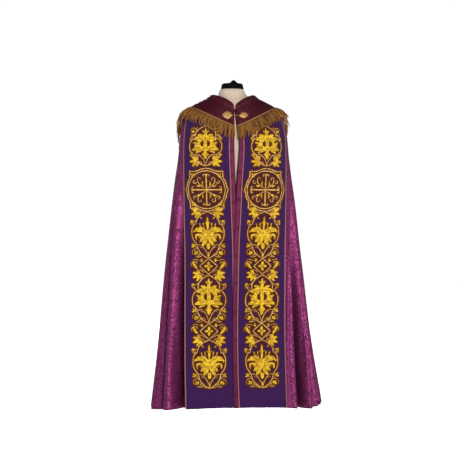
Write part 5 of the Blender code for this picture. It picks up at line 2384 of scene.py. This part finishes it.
    def add_heading(self) -> None:
        """The domed braid that holds the strands, along the hood's edge."""
        halves = []
        for side, _ in SIDES:
            fine, lengths = self.hood.edge_lengths(side)
            turn = np.interp(np.linspace(0, lengths[-1], self.heading_columns), lengths, fine)
            rows = []
            for share in np.linspace(-1, 1, self.heading_rows):
                past = (share + 1) / 2 * (self.overhang + self.hood.heading) - self.hood.heading
                out = self.gap + self.heading_wall * (self.heading_rim + self.heading_dome * (1 - share**2))
                rows.append(self.hood.over_edge(turn, side, past, out))
            halves.append(np.array(rows))
        grid = joined_halves(*halves)
        uv = cloth_metres(grid, 0)[..., ::-1]
        add_cloth("fringe_heading", grid, uv, self.heading_wall, Stuff.HEADING_BRAID)

    def build(self) -> None:
        """The strands and their heading."""
        self.add_strands()
        self.add_heading()


# --- The dress form and the clasp ---

CAP_PROFILE = ((0.001, 0.0), (0.054, 0.0), (0.0495, 0.022), (0.045, 0.0265), (0.001, 0.0275))
KNOB_PROFILE = ((0.001, 0.0), (0.024, 0.0), (0.017, 0.004), (0.009, 0.012), (0.004, 0.0155), (0.001, 0.016))
FOOT_PROFILE = (
    (0.001, 0.0), (0.172, 0.0), (0.175, 0.003), (0.170, 0.010), (0.045, 0.014), (0.030, 0.050), (0.001, 0.050)
)


def rounded(profile: Array, bevel: float = 0.0012, most: float = 0.45, steps: int = 5) -> Array:
    """A profile whose corners are rounded: each is replaced by a quadratic curve between its two legs.

    Args:
        profile: Points as N, 2.
        bevel: How far from a corner its curve starts.
        most: The most that it takes of a leg, as a share.
        steps: Points on each curve.

    Returns:
        The new points.
    """
    points = [profile[:1]]
    for before, corner, after in zip(profile, profile[1:], profile[2:]):
        legs = []
        for other in (before, after):
            leg = other - corner
            length = np.linalg.norm(leg)
            legs.append(corner + leg / length * min(bevel, length * most))
        part = np.linspace(0, 1, steps)[:, None]
        points.append(legs[0] * (1 - part) ** 2 + 2 * corner * part * (1 - part) + legs[1] * part**2)
    points.append(profile[-1:])
    return np.concatenate(points)


@dataclass
class DressForm:
    """Limbless torso with a cap and knob, on a pole and a weighted foot."""

    around: int = 96
    rows: int = 110
    pole_radius: float = 0.016
    axis_radius: float = 0.001

    def torso(self) -> Array:
        """The torso's rings, raised to where its solid stands.

        Returns:
            Points as one tube, rings, around, 3.
        """
        turn = np.linspace(0, math.tau, self.around, endpoint=False)
        coarse = np.array([placed(section, turn, LEFT) for section in FORM_SECTIONS])
        knots = lengths_along(coarse.transpose(1, 0, 2)).mean(axis=0)
        dense = through_rows(coarse, knots, np.linspace(0, knots[-1], self.rows))
        low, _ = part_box("form_torso")
        dense[..., 2] += low[2] - FORM_SECTIONS[0].side_z
        return dense[None]

    def add_closed(self, name: str, rings: Array, stuff: Stuff) -> None:
        """A closed piece of one tube in place of a node."""
        add_tubes(name + "_shape", rings, rings[..., ::2], stuff, [name])

    def add_turned(self, name: str, profile: Sequence[Spot], stuff: Stuff) -> None:
        """A turned piece in place of a node, round the middle of the node's box.

        Args:
            name: The node.
            profile: Its corners, as (radius, height) pairs from the foot up.
            stuff: What it is made of.
        """
        low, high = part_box(name)
        radius, level = rounded(np.array(profile)).T[..., None]
        angle = np.linspace(0, math.tau, self.around, endpoint=False)
        x = (low[0] + high[0]) / 2 + radius * np.cos(angle)
        y = (low[1] + high[1]) / 2 + radius * np.sin(angle)
        self.add_closed(name, np.stack([x, y, low[2] + level + 0 * angle], axis=-1)[None], stuff)

    def build(self) -> None:
        """All of the form."""
        self.add_closed("form_torso", self.torso(), Stuff.COVER)
        self.add_turned("form_cap", CAP_PROFILE, Stuff.BLACK)
        self.add_turned("form_knob", KNOB_PROFILE, Stuff.BLACK)
        low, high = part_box("form_pole")
        radii = (self.axis_radius, self.pole_radius, self.pole_radius, self.axis_radius)
        levels = (0.0, 0.0, high[2] - low[2], high[2] - low[2])
        self.add_turned("form_pole", tuple(zip(radii, levels)), Stuff.STEEL)
        self.add_turned("form_foot", FOOT_PROFILE, Stuff.FOOT_PAINT)


@dataclass
class Clasp:
    """The two plates and their hook, whose solids stay as they are."""

    nodes: tuple[str, ...] = ("clasp_plate_right", "clasp_plate_left", "clasp_hook")

    def build(self) -> None:
        """Gilds the nodes."""
        for name in self.nodes:
            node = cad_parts[name]
            node.data.materials.clear()
            node.data.materials.append(material(Stuff.GILT))
            log.info("%s: gilt", name)


def main() -> None:
    """Builds the studio, the garment and the form."""
    logging.basicConfig(level=logging.INFO, format="%(name)s: %(message)s")
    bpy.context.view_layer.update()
    Studio().build()
    cope = Cope()
    cope.build()
    bands = FrontBands(cope)
    bands.build()
    Embroidery(bands).build()
    hood = Hood()
    hood.build()
    Fringe(hood).build()
    DressForm().build()
    Clasp().build()


if __name__ == "__main__":
    main()
